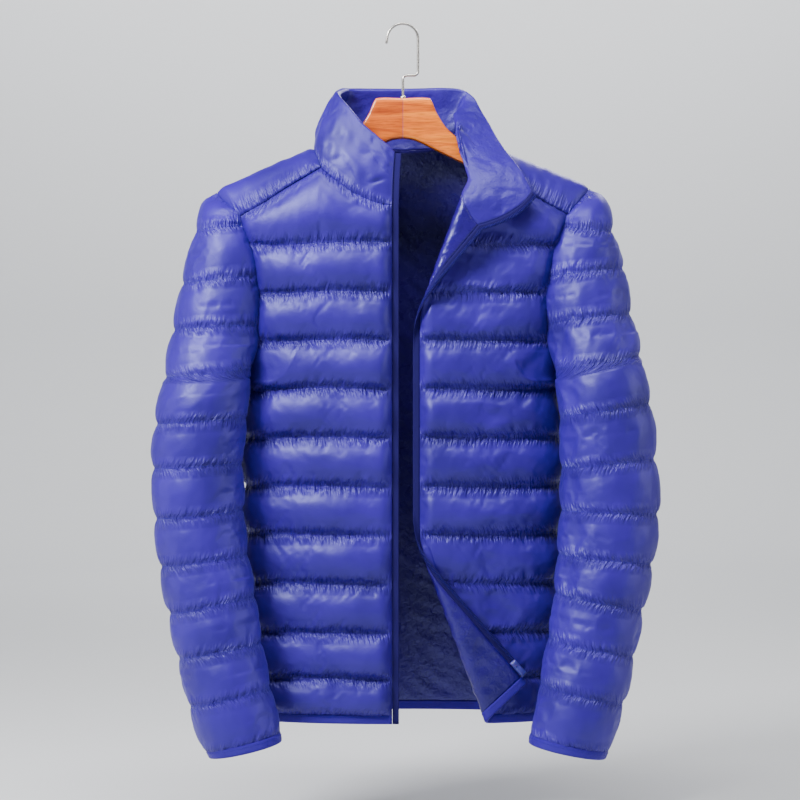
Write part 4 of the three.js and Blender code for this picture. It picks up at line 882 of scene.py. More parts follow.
def nylon_look(name, dark, light, roughness, shine, sheen, crinkle, weave=0.00003, gathered=0.0):
    """Downproof nylon: a fine plain weave, small crinkles and a slight change of shade."""
    look, nodes, links, bsdf = new_look(name)
    place_at = add(nodes, "ShaderNodeNewGeometry")
    cloud = add(nodes, "ShaderNodeTexNoise", Scale=14.0, Detail=3.0)
    links.new(place_at.outputs["Position"], cloud.inputs["Vector"])
    shade = ramp(nodes, [(0.3, dark), (0.7, light)])
    links.new(cloud.outputs["Fac"], shade.inputs["Fac"])
    links.new(shade.outputs["Color"], bsdf.inputs["Base Color"])
    gloss = add(nodes, "ShaderNodeTexNoise", Scale=60.0, Detail=4.0)
    links.new(place_at.outputs["Position"], gloss.inputs["Vector"])
    spread = add(nodes, "ShaderNodeMapRange", **{"To Min": roughness - 0.05, "To Max": roughness + 0.07})
    links.new(gloss.outputs["Fac"], spread.inputs["Value"])
    links.new(spread.outputs["Result"], bsdf.inputs["Roughness"])
    fine = add(nodes, "ShaderNodeTexNoise", Scale=170.0, Detail=5.0, Roughness=0.55, Distortion=0.6)
    links.new(place_at.outputs["Position"], fine.inputs["Vector"])
    creases = add(nodes, "ShaderNodeTexNoise", Scale=55.0, Detail=2.0, Distortion=1.6)
    creases.noise_type = "RIDGED_MULTIFRACTAL"
    links.new(place_at.outputs["Position"], creases.inputs["Vector"])
    threads = add(nodes, "ShaderNodeTexNoise", Scale=1700.0, Detail=1.0)
    links.new(place_at.outputs["Position"], threads.inputs["Vector"])
    bump = add(nodes, "ShaderNodeBump", Strength=1.0, Distance=crinkle)
    links.new(fine.outputs["Fac"], bump.inputs["Height"])
    bump2 = add(nodes, "ShaderNodeBump", Strength=1.0, Distance=crinkle * 0.35)
    links.new(creases.outputs["Fac"], bump2.inputs["Height"])
    links.new(bump.outputs["Normal"], bump2.inputs["Normal"])
    bump3 = add(nodes, "ShaderNodeBump", Strength=1.0, Distance=weave)
    links.new(threads.outputs["Fac"], bump3.inputs["Height"])
    links.new(bump2.outputs["Normal"], bump3.inputs["Normal"])
    last = bump3
    if gathered:
        last = add(nodes, "ShaderNodeBump", Strength=1.0, Distance=gathered)
        links.new(gather_height(nodes, links), last.inputs["Height"])
        links.new(bump3.outputs["Normal"], last.inputs["Normal"])
    links.new(last.outputs["Normal"], bsdf.inputs["Normal"])
    bsdf.inputs["Specular IOR Level"].default_value = shine
    bsdf.inputs["Specular Tint"].default_value = (0.5, 0.55, 1.0, 1)
    bsdf.inputs["Sheen Weight"].default_value = sheen
    bsdf.inputs["Sheen Roughness"].default_value = 0.35
    bsdf.inputs["Sheen Tint"].default_value = (0.2, 0.22, 1.0, 1)
    return look


def tape_look(name, colour, light, scale, roughness=0.7):
    """Woven tape: fine ribs across it, from a wave along the height."""
    look, nodes, links, bsdf = new_look(name)
    place_at = add(nodes, "ShaderNodeNewGeometry")
    ribs = add(nodes, "ShaderNodeTexWave", Scale=scale, Distortion=1.2, Detail=2.0, **{"Detail Scale": 2.0})
    ribs.bands_direction = "Z"
    links.new(place_at.outputs["Position"], ribs.inputs["Vector"])
    shade = ramp(nodes, [(0.0, colour), (1.0, light)])
    links.new(ribs.outputs["Fac"], shade.inputs["Fac"])
    links.new(shade.outputs["Color"], bsdf.inputs["Base Color"])
    bump = add(nodes, "ShaderNodeBump", Strength=0.8, Distance=0.0002)
    links.new(ribs.outputs["Fac"], bump.inputs["Height"])
    links.new(bump.outputs["Normal"], bsdf.inputs["Normal"])
    bsdf.inputs["Roughness"].default_value = roughness
    bsdf.inputs["Specular IOR Level"].default_value = 0.3
    bsdf.inputs["Specular Tint"].default_value = (0.4, 0.45, 1.0, 1)
    return look


def wood_look(name, dark, mid, light):
    """Lacquered wood with long grain along X and darker pores."""
    look, nodes, links, bsdf = new_look(name)
    place_at = add(nodes, "ShaderNodeNewGeometry")
    stretch = add(nodes, "ShaderNodeMapping", Scale=(5.0, 40.0, 42.0))
    links.new(place_at.outputs["Position"], stretch.inputs["Vector"])
    grain = add(nodes, "ShaderNodeTexNoise", Scale=2.2, Detail=7.0, Roughness=0.62, Distortion=0.9)
    links.new(stretch.outputs["Vector"], grain.inputs["Vector"])
    colour = ramp(nodes, [(0.28, dark), (0.5, mid), (0.74, light)])
    links.new(grain.outputs["Fac"], colour.inputs["Fac"])
    pores = add(nodes, "ShaderNodeMapping", Scale=(60.0, 900.0, 900.0))
    links.new(place_at.outputs["Position"], pores.inputs["Vector"])
    streaks = add(nodes, "ShaderNodeTexNoise", Scale=1.0, Detail=3.0)
    links.new(pores.outputs["Vector"], streaks.inputs["Vector"])
    darker = ramp(nodes, [(0.36, (0.45, 0.4, 0.38)), (0.52, (1, 1, 1))])
    links.new(streaks.outputs["Fac"], darker.inputs["Fac"])
    both = add(nodes, "ShaderNodeMix", data_type="RGBA", blend_type="MULTIPLY")
    both.inputs[0].default_value = 0.55
    links.new(colour.outputs["Color"], both.inputs[6])
    links.new(darker.outputs["Color"], both.inputs[7])
    links.new(both.outputs[2], bsdf.inputs["Base Color"])
    bump = add(nodes, "ShaderNodeBump", Strength=0.35, Distance=0.0002)
    links.new(grain.outputs["Fac"], bump.inputs["Height"])
    links.new(bump.outputs["Normal"], bsdf.inputs["Normal"])
    bsdf.inputs["Roughness"].default_value = 0.34
    bsdf.inputs["Coat Weight"].default_value = 0.35
    bsdf.inputs["Coat Roughness"].default_value = 0.12
    return look


def steel_look():
    look, nodes, links, bsdf = new_look("satin_steel")
    place_at = add(nodes, "ShaderNodeNewGeometry")
    drawn = add(nodes, "ShaderNodeTexNoise", Scale=900.0, Detail=3.0)
    links.new(place_at.outputs["Position"], drawn.inputs["Vector"])
    spread = add(nodes, "ShaderNodeMapRange", **{"To Min": 0.2, "To Max": 0.36})
    links.new(drawn.outputs["Fac"], spread.inputs["Value"])
    links.new(spread.outputs["Result"], bsdf.inputs["Roughness"])
    bump = add(nodes, "ShaderNodeBump", Strength=0.3, Distance=0.00005)
    links.new(drawn.outputs["Fac"], bump.inputs["Height"])
    links.new(bump.outputs["Normal"], bsdf.inputs["Normal"])
    bsdf.inputs["Base Color"].default_value = (0.5, 0.48, 0.45, 1)
    bsdf.inputs["Metallic"].default_value = 1
    return look


def plastic_look():
    look, nodes, links, bsdf = new_look("pale_plastic")
    place_at = add(nodes, "ShaderNodeNewGeometry")
    cloud = add(nodes, "ShaderNodeTexNoise", Scale=300.0, Detail=2.0)
    links.new(place_at.outputs["Position"], cloud.inputs["Vector"])
    shade = ramp(nodes, [(0.3, (0.03, 0.025, 0.2)), (0.7, (0.05, 0.05, 0.32))])
    links.new(cloud.outputs["Fac"], shade.inputs["Fac"])
    links.new(shade.outputs["Color"], bsdf.inputs["Base Color"])
    bsdf.inputs["Roughness"].default_value = 0.35
    bsdf.inputs["Subsurface Weight"].default_value = 0.2
    return look


SHELL_DARK, SHELL_LIGHT = (0.016, 0.002, 0.16), (0.027, 0.004, 0.25)
NYLON = nylon_look("nylon_shell", SHELL_DARK, SHELL_LIGHT, 0.46, 0.65, 0.12, 0.0002, gathered=0.006)
LINING = nylon_look("nylon_lining", (0.009, 0.001, 0.09), (0.018, 0.003, 0.16), 0.27, 0.7, 0.0, 0.0009)
COLLAR_LINING = nylon_look("nylon_collar_lining", SHELL_DARK, SHELL_LIGHT, 0.44, 0.6, 0.05, 0.0007)
BIND = tape_look("binding_cloth", (0.02, 0.003, 0.2), (0.034, 0.007, 0.32), 700.0, 0.42)
TAPE = tape_look("zip_tape_cloth", (0.006, 0.0015, 0.05), (0.011, 0.003, 0.09), 420.0)
THREAD = tape_look("thread", (0.01, 0.004, 0.2), (0.03, 0.015, 0.5), 1500.0, 0.6)
COIL = tape_look("zip_coil", (0.01, 0.004, 0.1), (0.02, 0.01, 0.22), 1200.0, 0.35)
WOOD_LEFT = wood_look("wood_light", (0.42, 0.06, 0.002), (0.8, 0.18, 0.007), (0.95, 0.29, 0.016))
WOOD_RIGHT = wood_look("wood_red", (0.3, 0.035, 0.002), (0.64, 0.12, 0.005), (0.84, 0.2, 0.012))
STEEL = steel_look()
PLASTIC = plastic_look()


# Camera, light and stage

def set_camera():
    data = bpy.data.cameras.new("camera")
    data.lens = 95.3
    data.sensor_width = 36
    cam = bpy.data.objects.new("camera", data)
    cam.location = (-0.0036, -2.6, -0.451 - HANG * MM)
    cam.rotation_euler = (math.radians(90), 0, 0)
    bpy.context.scene.collection.objects.link(cam)
    bpy.context.scene.camera = cam


def add_light(name, at, to, size, power, colour=(1, 1, 1)):
    data = bpy.data.lights.new(name, "AREA")
    data.shape = "RECTANGLE"
    data.size, data.size_y = size
    data.energy = power
    data.color = colour
    light = bpy.data.objects.new(name, data)
    light.location = at
    way = np.array(to) - np.array(at)
    flat = math.hypot(way[0], way[1])
    light.rotation_euler = (math.atan2(flat, -way[2]), 0, math.atan2(-way[0], way[1]))
    bpy.context.scene.collection.objects.link(light)


STAGE_SIDES = 96


def set_stage():
    """A round pale floor that curves up into a pale wall all around."""
    floor, flat, radius, top = -980, 4200, 800, 5000
    profile = [(flat, floor)]
    for k in range(1, 13):
        angle = k / 12 * math.pi / 2
        profile.append((flat + radius * math.sin(angle), floor + radius * (1 - math.cos(angle))))
    profile.append((flat + radius, top))
    turns = np.arange(STAGE_SIDES) / STAGE_SIDES * 2 * math.pi
    points = [(r * math.cos(t), r * math.sin(t), z) for r, z in profile for t in turns]
    faces = [tuple(range(STAGE_SIDES))]
    for k in range(len(profile) - 1):
        for j in range(STAGE_SIDES):
            a, b = k * STAGE_SIDES + j, k * STAGE_SIDES + (j + 1) % STAGE_SIDES
            faces.append((a, a + STAGE_SIDES, b + STAGE_SIDES, b))
    mesh = mesh_of("stage", points, faces, 0)
    mesh.polygons.foreach_set("use_smooth", np.ones(len(faces), bool))
    look, nodes, links, bsdf = new_look("pale_paper")
    bsdf.inputs["Base Color"].default_value = (0.62, 0.63, 0.65, 1)
    bsdf.inputs["Roughness"].default_value = 0.9
    mesh.materials.append(look)
    stage = bpy.data.objects.new("stage", mesh)
    bpy.context.scene.collection.objects.link(stage)


def set_light():
    middle = (0, 0, -0.5)
    add_light("key", (-1.3, -1.2, 0.95), (-0.05, 0, -0.35), (0.7, 0.5), 100)
    add_light("top", (0.0, -0.75, 1.5), (0, 0, -0.3), (1.3, 0.4), 50)
    add_light("left_side", (-2.0, -0.2, -0.3), middle, (0.5, 1.5), 8)
    add_light("right_side", (2.1, -0.4, 0.1), middle, (0.5, 1.5), 16)
    add_light("behind", (0.9, 1.9, 1.2), middle, (1.2, 0.6), 32)
    add_light("backdrop", (0, 3.3, 1.9), (0, 5.0, -0.2), (3.5, 0.6), 110)
    world = bpy.data.worlds.new("world")
    world.use_nodes = True
    background = world.node_tree.nodes["Background"]
    background.inputs["Color"].default_value = (0.8, 0.85, 1.0, 1)
    background.inputs["Strength"].default_value = 0.02
    bpy.context.scene.world = world


# The jacket's padded pieces

def fine_distances(points, share, heights):
    """Distance along each row, and distance from the nearest quilting line, on a fine grid."""
    steps = np.linalg.norm(np.diff(points, axis=1), axis=2)
    along = np.concatenate([np.zeros((len(points), 1)), np.cumsum(steps, axis=1)], axis=1)
    return along, np.minimum(share, 1 - share) * heights


def dress(grid, outer, wall_edges, heights, seed, strength=1.0, first_seam=True):
    """The outside of a quilted piece, finer and puckered along its lines."""
    wrap = None
    closed = grid.closed_from
    level = finer_rows(grid.line + grid.share)
    fine = finer(outer, 0)
    if closed is not None:
        wrap = np.arange(len(fine)) >= 2 * closed
    fine = finer(fine, 1, wrap)
    level = np.repeat(level[:, :1], fine.shape[1], axis=1)
    share = level - np.floor(level + 1e-6)
    number = np.floor(level + 0.5)
    above = share > 0.5
    along, from_line = fine_distances(fine, share, finer(finer(heights, 0), 1))
    edges = finer(finer(wall_edges, 0), 1)
    if not first_seam:
        from_line = np.where(number <= number.min(), 60, from_line)
    depth = gathers(along, np.where(above, from_line, 60), number, seed, strength=strength)
    depth += gathers(along, np.where(above, 60, from_line), number, seed + 1, strength=strength)
    rough = waves(along, level * 57, 30, seed + 2) * 0.25 + waves(along, level * 57, 12, seed + 3) * 0.08
    fade = clamp(from_line / 9) * clamp(edges)
    depth = depth * clamp(0.2 + edges) + rough * fade
    normals = normals_of(fine, grid.outward)
    if closed is not None:
        looped = normals_of(fine, grid.outward, closed=True)
        normals[2 * closed:] = looped[2 * closed:]
        depth[2 * closed:, -1] = depth[2 * closed:, 0]
    return fine + normals * depth[..., None], (along, from_line)


def line_wave(along, line, seed):
    """Quilting lines aren't dead straight: they wander up and down a little."""
    return waves(along, line * 91.7, 120, seed, 5) * 0.7


def quilted_pieces(grids):
    """Outer points of every quilted grid before the cloth is simulated."""
    ready = []
    for seed, (grid, wall) in enumerate(grids):
        puff, edges = wall
        rows, columns = grid.points.shape[:2]
        steps = np.linalg.norm(np.diff(grid.points, axis=1), axis=2)
        along = np.concatenate([np.zeros((rows, 1)), np.cumsum(steps, axis=1)], axis=1)
        fullness = 1 + 0.1 * waves(along, grid.line * 83, 95, 40 + seed, 6)
        swell = quilt(grid.share) * edges
        low = SLEEVE_LINE if grid.closed_from is not None else LINE
        thick = low + (puff * fullness - low) * swell
        thick = np.maximum(thick, 1.6)
        outer = grid.points + grid.normals * thick[..., None]
        outer[..., 2] += line_wave(along, np.round(grid.line + grid.share), 60 + seed) * clamp(edges)
        if grid.closed_from is not None:
            outer[grid.closed_from:, -1] = outer[grid.closed_from:, 0]
        held = (grid.share < 1e-6) | (edges < 0.12)
        held[[0, -1]] = True
        if grid.closed_from is None:
            held[:, [0, -1]] = True
        else:
            held[:grid.closed_from + 1, [0, -1]] = True
        ready.append((grid.name, outer, held, grid.closed_from))
    return ready


def channel_heights(grid):
    """Height of the channel each grid point lies in, along the cloth."""
    steps = np.linalg.norm(np.diff(grid.points, axis=0), axis=2)
    down = np.concatenate([np.zeros((1, grid.points.shape[1])), np.cumsum(steps, axis=0)])
    heights = np.zeros_like(down)
    whole = grid.line[:, 0]
    for line in np.unique(whole):
        rows = np.flatnonzero(whole == line)
        end = min(rows[-1] + 1, len(down) - 1)
        heights[rows] = np.maximum(down[end] - down[rows[0]], 4)
    return heights


def crinkled(grid, size, seed):
    """The lining: the inside points, pushed in a little where the cloth crumples."""
    rows = grid.points.shape[0]
    steps = np.linalg.norm(np.diff(grid.points, axis=1), axis=2)
    u = np.concatenate([np.zeros((rows, 1)), np.cumsum(steps, axis=1)], axis=1)
    down = np.linalg.norm(np.diff(grid.points, axis=0), axis=2)
    v = np.concatenate([np.zeros((1, u.shape[1])), np.cumsum(down, axis=0)])
    fold = 1 - np.abs(waves(u, v, 34, seed, 6)) * 0.8
    fold = clamp(fold) * 0.7 + waves(u, v, 18, seed + 1, 7) * 0.2
    inner = grid.points - grid.normals * (fold * size)[..., None]
    for edge in ((slice(None), 0), (slice(None), -1), (0, slice(None)), (-1, slice(None))):
        inner[edge] = grid.points[edge]
    if grid.closed_from is not None:
        inner[grid.closed_from:, 0] = grid.points[grid.closed_from:, 0]
    return inner


def build_quilted():
    fronts = {side["name"]: front_grid(side) for side in (RIGHT, LEFT)}
    back = back_grid()
    yokes = {side["name"]: yoke_grid(side, fronts[side["name"]], back) for side in (RIGHT, LEFT)}
    tables = {"right": SLEEVE_RIGHT, "left": SLEEVE_LEFT}
    sleeves = {side["name"]: sleeve_grid(side, tables[side["name"]], yokes[side["name"]]) for side in (RIGHT, LEFT)}
    collar = collar_grid(neckline(fronts, yokes, back))
    grids = [(fronts["right"], panel_wall(fronts["right"])), (fronts["left"], panel_wall(fronts["left"])),
             (back, panel_wall(back)), (sleeves["right"], sleeve_wall(sleeves["right"])),
             (sleeves["left"], sleeve_wall(sleeves["left"]))]
    ready = quilted_pieces(grids)
    blown = inflate(ready)
    for number, ((grid, wall), outer) in enumerate(zip(grids, blown)):
        heights = channel_heights(grid)
        fine, cloth = dress(grid, outer, wall[1], heights, 100 + 10 * number)
        inner = crinkled(grid, 1.2, 300 + 10 * number)
        piece = shell(grid.name + "_quilt", inner, fine, [NYLON, LINING], grid.closed_from, grid.name, cloth)
        grid.fine = fine
    for side in (RIGHT, LEFT):
        yoke = yokes[side["name"]]
        rows, columns = yoke.points.shape[:2]
        r, c = np.meshgrid(np.arange(rows), np.arange(columns), indexing="ij")
        rise = settle(np.minimum(r, rows - 1 - r) * 4.3, 13) * settle(np.minimum(c, columns - 1 - c) * 3.5, 13)
        thick = SLEEVE_LINE + (YOKE_PUFF - SLEEVE_LINE) * rise
        outer = yoke.points + yoke.normals * thick[..., None]
        fine = finer(finer(outer, 0), 1)
        v = np.broadcast_to(np.linspace(0, 1, fine.shape[0])[:, None], fine.shape[:2])
        steps = np.linalg.norm(np.diff(fine, axis=1), axis=2)
        along = np.concatenate([np.zeros((len(fine), 1)), np.cumsum(steps, axis=1)], axis=1)
        number = (v > 0.5).astype(float)
        depth = gathers(along, np.minimum(v, 1 - v) * 75, number, 500 + side["sign"], strength=0.6)
        depth += waves(along, v * 75, 22, 510 + side["sign"]) * 0.3
        fade = settle(np.minimum(along, along[:, -1:] - along), 12) * (0.3 + 0.7 * settle(np.minimum(v, 1 - v) * 75, 8))
        fine = fine + normals_of(fine, yoke.outward) * (depth * fade)[..., None]
        cloth = (along, np.minimum(v, 1 - v) * 75)
        piece = shell(yoke.name + "_quilt", yoke.points, fine, [NYLON, LINING], None, yoke.name, cloth)
    build_collar(collar)
    return fronts, back, sleeves, collar


def build_collar(collar):
    rows, columns = collar.points.shape[:2]
    v = np.linspace(0, 1, rows)[:, None]
    run = run_of(collar.points[0])[None, :]
    ends = settle(np.minimum(run, run[:, -1:] - run), 16)
    rise = np.where(v < 0.5, np.sin(math.pi * v) ** 0.8, mix(COLLAR_TOP, 1, np.sin(math.pi * v) ** 0.8)) * ends
    thick = LINE + (collar.puff[None, :] * 1.1 - LINE) * rise
    outer = collar.points + collar.normals * thick[..., None]
    fine = finer(finer(outer, 0), 1)
    normals = normals_of(fine, collar.outward)
    fine_v = np.broadcast_to(np.linspace(0, 1, fine.shape[0])[:, None], fine.shape[:2])
    steps = np.linalg.norm(np.diff(fine, axis=1), axis=2)
    along = np.concatenate([np.zeros((len(fine), 1)), np.cumsum(steps, axis=1)], axis=1)
    height = 78
    from_seam = fine_v * height
    depth = gathers(along, from_seam, np.zeros_like(along), 701, strength=0.7)
    depth += gathers(along, (1 - fine_v) * height, np.ones_like(along), 702, strength=0.45)
    depth += slanted_creases(along, from_seam, 703)
    fade = settle(np.minimum(along, along[:, -1:] - along), 10)
    fade = fade * settle(np.minimum(fine_v, 1 - fine_v) * height, 7)
    fine = fine + normals * ((depth + waves(along, from_seam, 24, 704) * 0.45) * fade)[..., None]
    inner = crinkled(collar, 1.0, 710)
    inner = inner + collar.normals * inner_creases(collar)[..., None]
    inner, fine = rounded_top(inner, fine)
    rounding = np.zeros((len(fine) - len(along), along.shape[1]))
    cloth = (np.concatenate([along, rounding + along[-1]]), np.concatenate([from_seam, rounding + 78]))
    piece = shell("collar_padded", inner, fine, [NYLON, COLLAR_LINING], None, "collar", cloth)


def inner_creases(collar):
    """Creases on the collar's inner face: grooves that run into the padding."""
    rows, columns = collar.points.shape[:2]
    steps = np.linalg.norm(np.diff(collar.points, axis=1), axis=2)
    along = np.concatenate([np.zeros((rows, 1)), np.cumsum(steps, axis=1)], axis=1)
    v = np.broadcast_to(np.linspace(0, 78, rows)[:, None], along.shape)
    edge = settle(np.minimum(along, along[:, -1:] - along), 12) * settle(np.minimum(v, 78 - v), 9)
    return -1.5 * slanted_creases(along, v, 713) * edge


def rounded_top(inner, fine):
    """Carries a wall over its top edge in a half circle, on both of its layers."""
    low = finer(inner[-1:], 1)
    half = (fine[-1:] - low) / 2
    up = unit(fine[-1:] - fine[-3:-2]) * np.linalg.norm(half, axis=-1, keepdims=True)
    turn = [low + half * (1 + math.cos(a)) + up * math.sin(a) for a in (0.45, 0.9, 1.35, 1.75, 2.2, 2.65)]
    return np.concatenate([inner, turn[-1][:, ::2]]), np.concatenate([fine, *turn[:2]])


def slanted_creases(along, v, seed):
    """Long diagonal creases where the collar turns over."""
    rng = np.random.default_rng(seed)
    depth = np.zeros(along.shape)
    length = float(along.max())
    for _ in range(46):
        at, lean = rng.uniform(0, length), rng.choice([-1, 1]) * rng.uniform(0.6, 1.6)
        low, reach, width = rng.uniform(5, 50), rng.uniform(14, 34), rng.uniform(1.6, 3.4)
        d = (along - at - lean * (v - low)) / math.hypot(1, lean)
        fall = clamp(1 - np.abs(v - low - reach / 2) / (reach / 2)) ** 0.7
        depth -= rng.uniform(0.5, 1.4) * np.exp(-((d / width) ** 2)) * fall
    return depth


# Bindings: a strip folded over an edge, with its raw edges turned in and one row of stitches

BAND_THICK = 0.8
BAND_CLEAR = 0.1
BAND_LAP = 2
BAND_CROWN = 0.35


def band_section(length, wall, layer):
    """One layer of a band's section, as (down, out) points: over the edge of a wall and back."""
    outside = wall + BAND_THICK + BAND_CLEAR - layer
    inside = layer - BAND_THICK - BAND_CLEAR
    radius, middle = (outside - inside) / 2, (outside + inside) / 2
    foot = length - (wall / 2 + BAND_THICK + BAND_CLEAR)
    line = [(mix(-BAND_LAP, foot, t), outside + BAND_CROWN * math.sin(math.pi * t)) for t in np.linspace(0, 1, 6)]
    for angle in np.linspace(0, math.pi, 8)[1:-1]:
        line.append((foot + radius * math.sin(angle), middle + radius * math.cos(angle)))
    return line + [(mix(-BAND_LAP, foot, t), inside) for t in np.linspace(1, 0, 6)]


def folded_band(name, top, low, outward, closed, cad, wall):
    """A band that laps a wall's edge from row top to row low, made as one thin closed sheet."""
    way = unit(low - top)
    pair = np.stack([top, low])
    normals = normals_of(pair, outward, closed)[0]
    length = float(np.linalg.norm(low - top, axis=1).mean())
    sections = [band_section(length, wall, layer) for layer in (0, BAND_THICK)]
    profile = sections[0] + sections[1][::-1]
    points = np.array([top + way * down + normals * out for down, out in profile])
    ring = np.concatenate([points, points[:1]])
    rows, columns = ring.shape[:2]
    ids = np.arange((rows - 1) * columns).reshape(rows - 1, columns)
    ids = np.concatenate([ids, ids[:1]])
    if closed:
        ids[:, -1] = ids[:, 0]
    faces = []
    for r in range(rows - 1):
        for c in range(columns - 1):
            faces.append((ids[r, c], ids[r, c + 1], ids[r + 1, c + 1], ids[r + 1, c]))
    if not closed:
        half = len(sections[0])
        for c in (0, columns - 1):
            for k in range(half - 1):
                quad = (ids[k, c], ids[k + 1, c], ids[2 * half - 2 - k, c], ids[2 * half - 1 - k, c])
                faces.append(quad if c == 0 else quad[::-1])
    flat = points.reshape(-1, 3)
    if closed:
        keep = np.ones((rows - 1, columns), bool)
        keep[:, -1] = False
        number = np.cumsum(keep.ravel()) - 1
        faces = [tuple(int(number[i]) for i in face) for face in faces]
        flat = flat[keep.ravel()]
    mesh = mesh_of(name, flat, faces)
    mesh.materials.append(BIND)
    mesh.polygons.foreach_set("use_smooth", np.ones(len(faces), bool))
    piece = place(name, mesh, cad)
    return top + way * 1.2 + normals * (wall + BAND_THICK + 0.5), normals


def build_bindings(fronts, back, sleeves):
    stitches = []
    for side in (RIGHT, LEFT):
        name = side["name"]
        grid = fronts[name]
        x = grid.x[-1]
        rows = [folded_point(side, x, np.full_like(x, z), -1) for z in (BODY_LINES[-1] - GAP, HEM_Z)]
        cad = "hem_binding_" + name
        stitches.append(folded_band("hem_band_" + name, *rows, -side["sign"], False, cad, LINE))
        sleeve = sleeves[name].points
        way = unit(sleeve[-1] - sleeve[-2])
        top, low = sleeve[-1] + way * GAP, sleeve[-1] + way * CUFF
        cad = "cuff_binding_" + name
        stitches.append(folded_band("cuff_band_" + name, top, low, -side["sign"], True, cad, SLEEVE_LINE))
    rows = []
    for z in (BODY_LINES[-1] - GAP, HEM_Z):
        right = body_point(RIGHT, back.x[-1, :back.middle], np.full(back.middle, z), 1)
        left_x = back.x[-1, back.middle:]
        left = body_point(LEFT, left_x, np.full(len(left_x), z), 1)
        rows.append(np.concatenate([right, left]))
    stitches.append(folded_band("hem_band_back", *rows, 1, False, "hem_binding_back", LINE))
    return stitches


# Stitches: short threads laid along a path

def thread_run(path, normals, pitch=3.2, length=2.3, radius=0.28, lift=0.1):
    """Points and faces of a row of stitches: each is a small spindle on the cloth."""
    run = run_of(path)
    count = int(run[-1] / pitch)
    points, faces = [], []
    for k in range(count):
        at = (k + 0.5) * pitch
        a, b = at - length / 2, at + length / 2
        ends = [np.array([np.interp(s, run, path[:, j]) for j in range(3)]) for s in (a, at, b)]
        n = np.array([np.interp(at, run, normals[:, j]) for j in range(3)])
        n = n / max(np.linalg.norm(n), 1e-9)
        along = ends[2] - ends[0]
        along = along / max(np.linalg.norm(along), 1e-9)
        across = np.cross(n, along)
        middle = ends[1] + n * (lift + radius * 0.6)
        base = len(points)
        points += [ends[0] + n * 0.02, *[middle + (across * math.cos(t) + n * math.sin(t)) * radius
                   for t in (0, math.pi / 2, math.pi, 3 * math.pi / 2)], ends[2] + n * 0.02]
        for j in range(4):
            first, second = base + 1 + j, base + 1 + (j + 1) % 4
            faces.append((base, second, first))
            faces.append((base + 5, first, second))
    return points, faces


def stitch_piece(name, runs):
    points, faces = [], []
    for path, normals in runs:
        more, quads = thread_run(path, normals)
        faces += [tuple(i + len(points) for i in face) for face in quads]
        points += more
    mesh = mesh_of(name, np.array(points), faces)
    mesh.materials.append(THREAD)
    mesh.polygons.foreach_set("use_smooth", np.ones(len(faces), bool))
    place(name, mesh)


def quilt_stitches(grid, outward):
    """Paths along the quilting lines of a dressed grid, on its finished outside."""
    normals = normals_of(grid.fine, outward)
    runs = []
    rows = np.flatnonzero(grid.share[:, 0] < 1e-6)
    for r in rows[1:-1]:
        path, way = grid.fine[2 * r], normals[2 * r]
        runs.append((path[3:-3], way[3:-3]))
    return runs


# Zip: woven tapes with a coil along the open edge, and the retaining pin

PIN_TOP_Z = -806


def build_zip(fronts, collar):
    for side in (RIGHT, LEFT):
        name = side["name"]
        right = side is RIGHT
        ends = 0 if right else -1
        width = side["edge"] - side["tape"]
        way = unit(np.array(COLLAR_TAPE_OUT[name], float))
        edge_rows = collar.points[:0:-1, ends]
        edge_normals = collar.normals[:0:-1, ends]
        grid = fronts[name]
        z = grid.z[:, 0]
        z = np.append(z, HEM_Z) if right else np.append(z[z > PIN_TOP_Z], PIN_TOP_Z)
        count = len(z)
        body_normals = grid.normals[np.minimum(np.arange(count), len(grid.normals) - 1), 0]
        lanes = []
        for share in np.linspace(0, 1, 5):
            top = edge_rows + way * mix(GAP, width, share)
            x = np.full(count, mix(side["edge"] - 0.45, side["tape"], share))
            lanes.append(np.concatenate([top, folded_point(side, x, z, -1)]))
        points = np.array(lanes).transpose(1, 0, 2)
        normals = np.repeat(np.concatenate([edge_normals, body_normals])[:, None], 5, axis=1)
        outer = points + normals * 0.9
        fine = finer(finer_rows(outer), 1)
        piece = shell("tape_" + name, points, fine, [TAPE], None, "zip_tape_" + name)
        coil(name, points, normals)


def coil(name, points, normals):
    """The nylon coil: a flattened spiral along the tape's open edge."""
    path = points[:, -1] + (points[:, -2] - points[:, -1]) * 0.9 - normals[:, -1] * 0.8
    run = run_of(path)
    turns = int(run[-1] / 1.9)
    steps = 8
    s = np.linspace(0, run[-1], turns * steps + 1)
    centre = np.stack([np.interp(s, run, path[:, k]) for k in range(3)], axis=-1)
    out = np.stack([np.interp(s, run, (points[:, -1] - points[:, -2])[:, k]) for k in range(3)], axis=-1)
    out = unit(out)
    up = unit(np.stack([np.interp(s, run, normals[:, -1][:, k]) for k in range(3)], axis=-1))
    turn = np.arange(len(s)) / steps * 2 * math.pi
    line = centre + out * (np.cos(turn) * 1.7)[:, None] + up * (np.sin(turn) * 0.75)[:, None]
    tube("coil_" + name, line, 0.42, 5, COIL, "zip_tape")


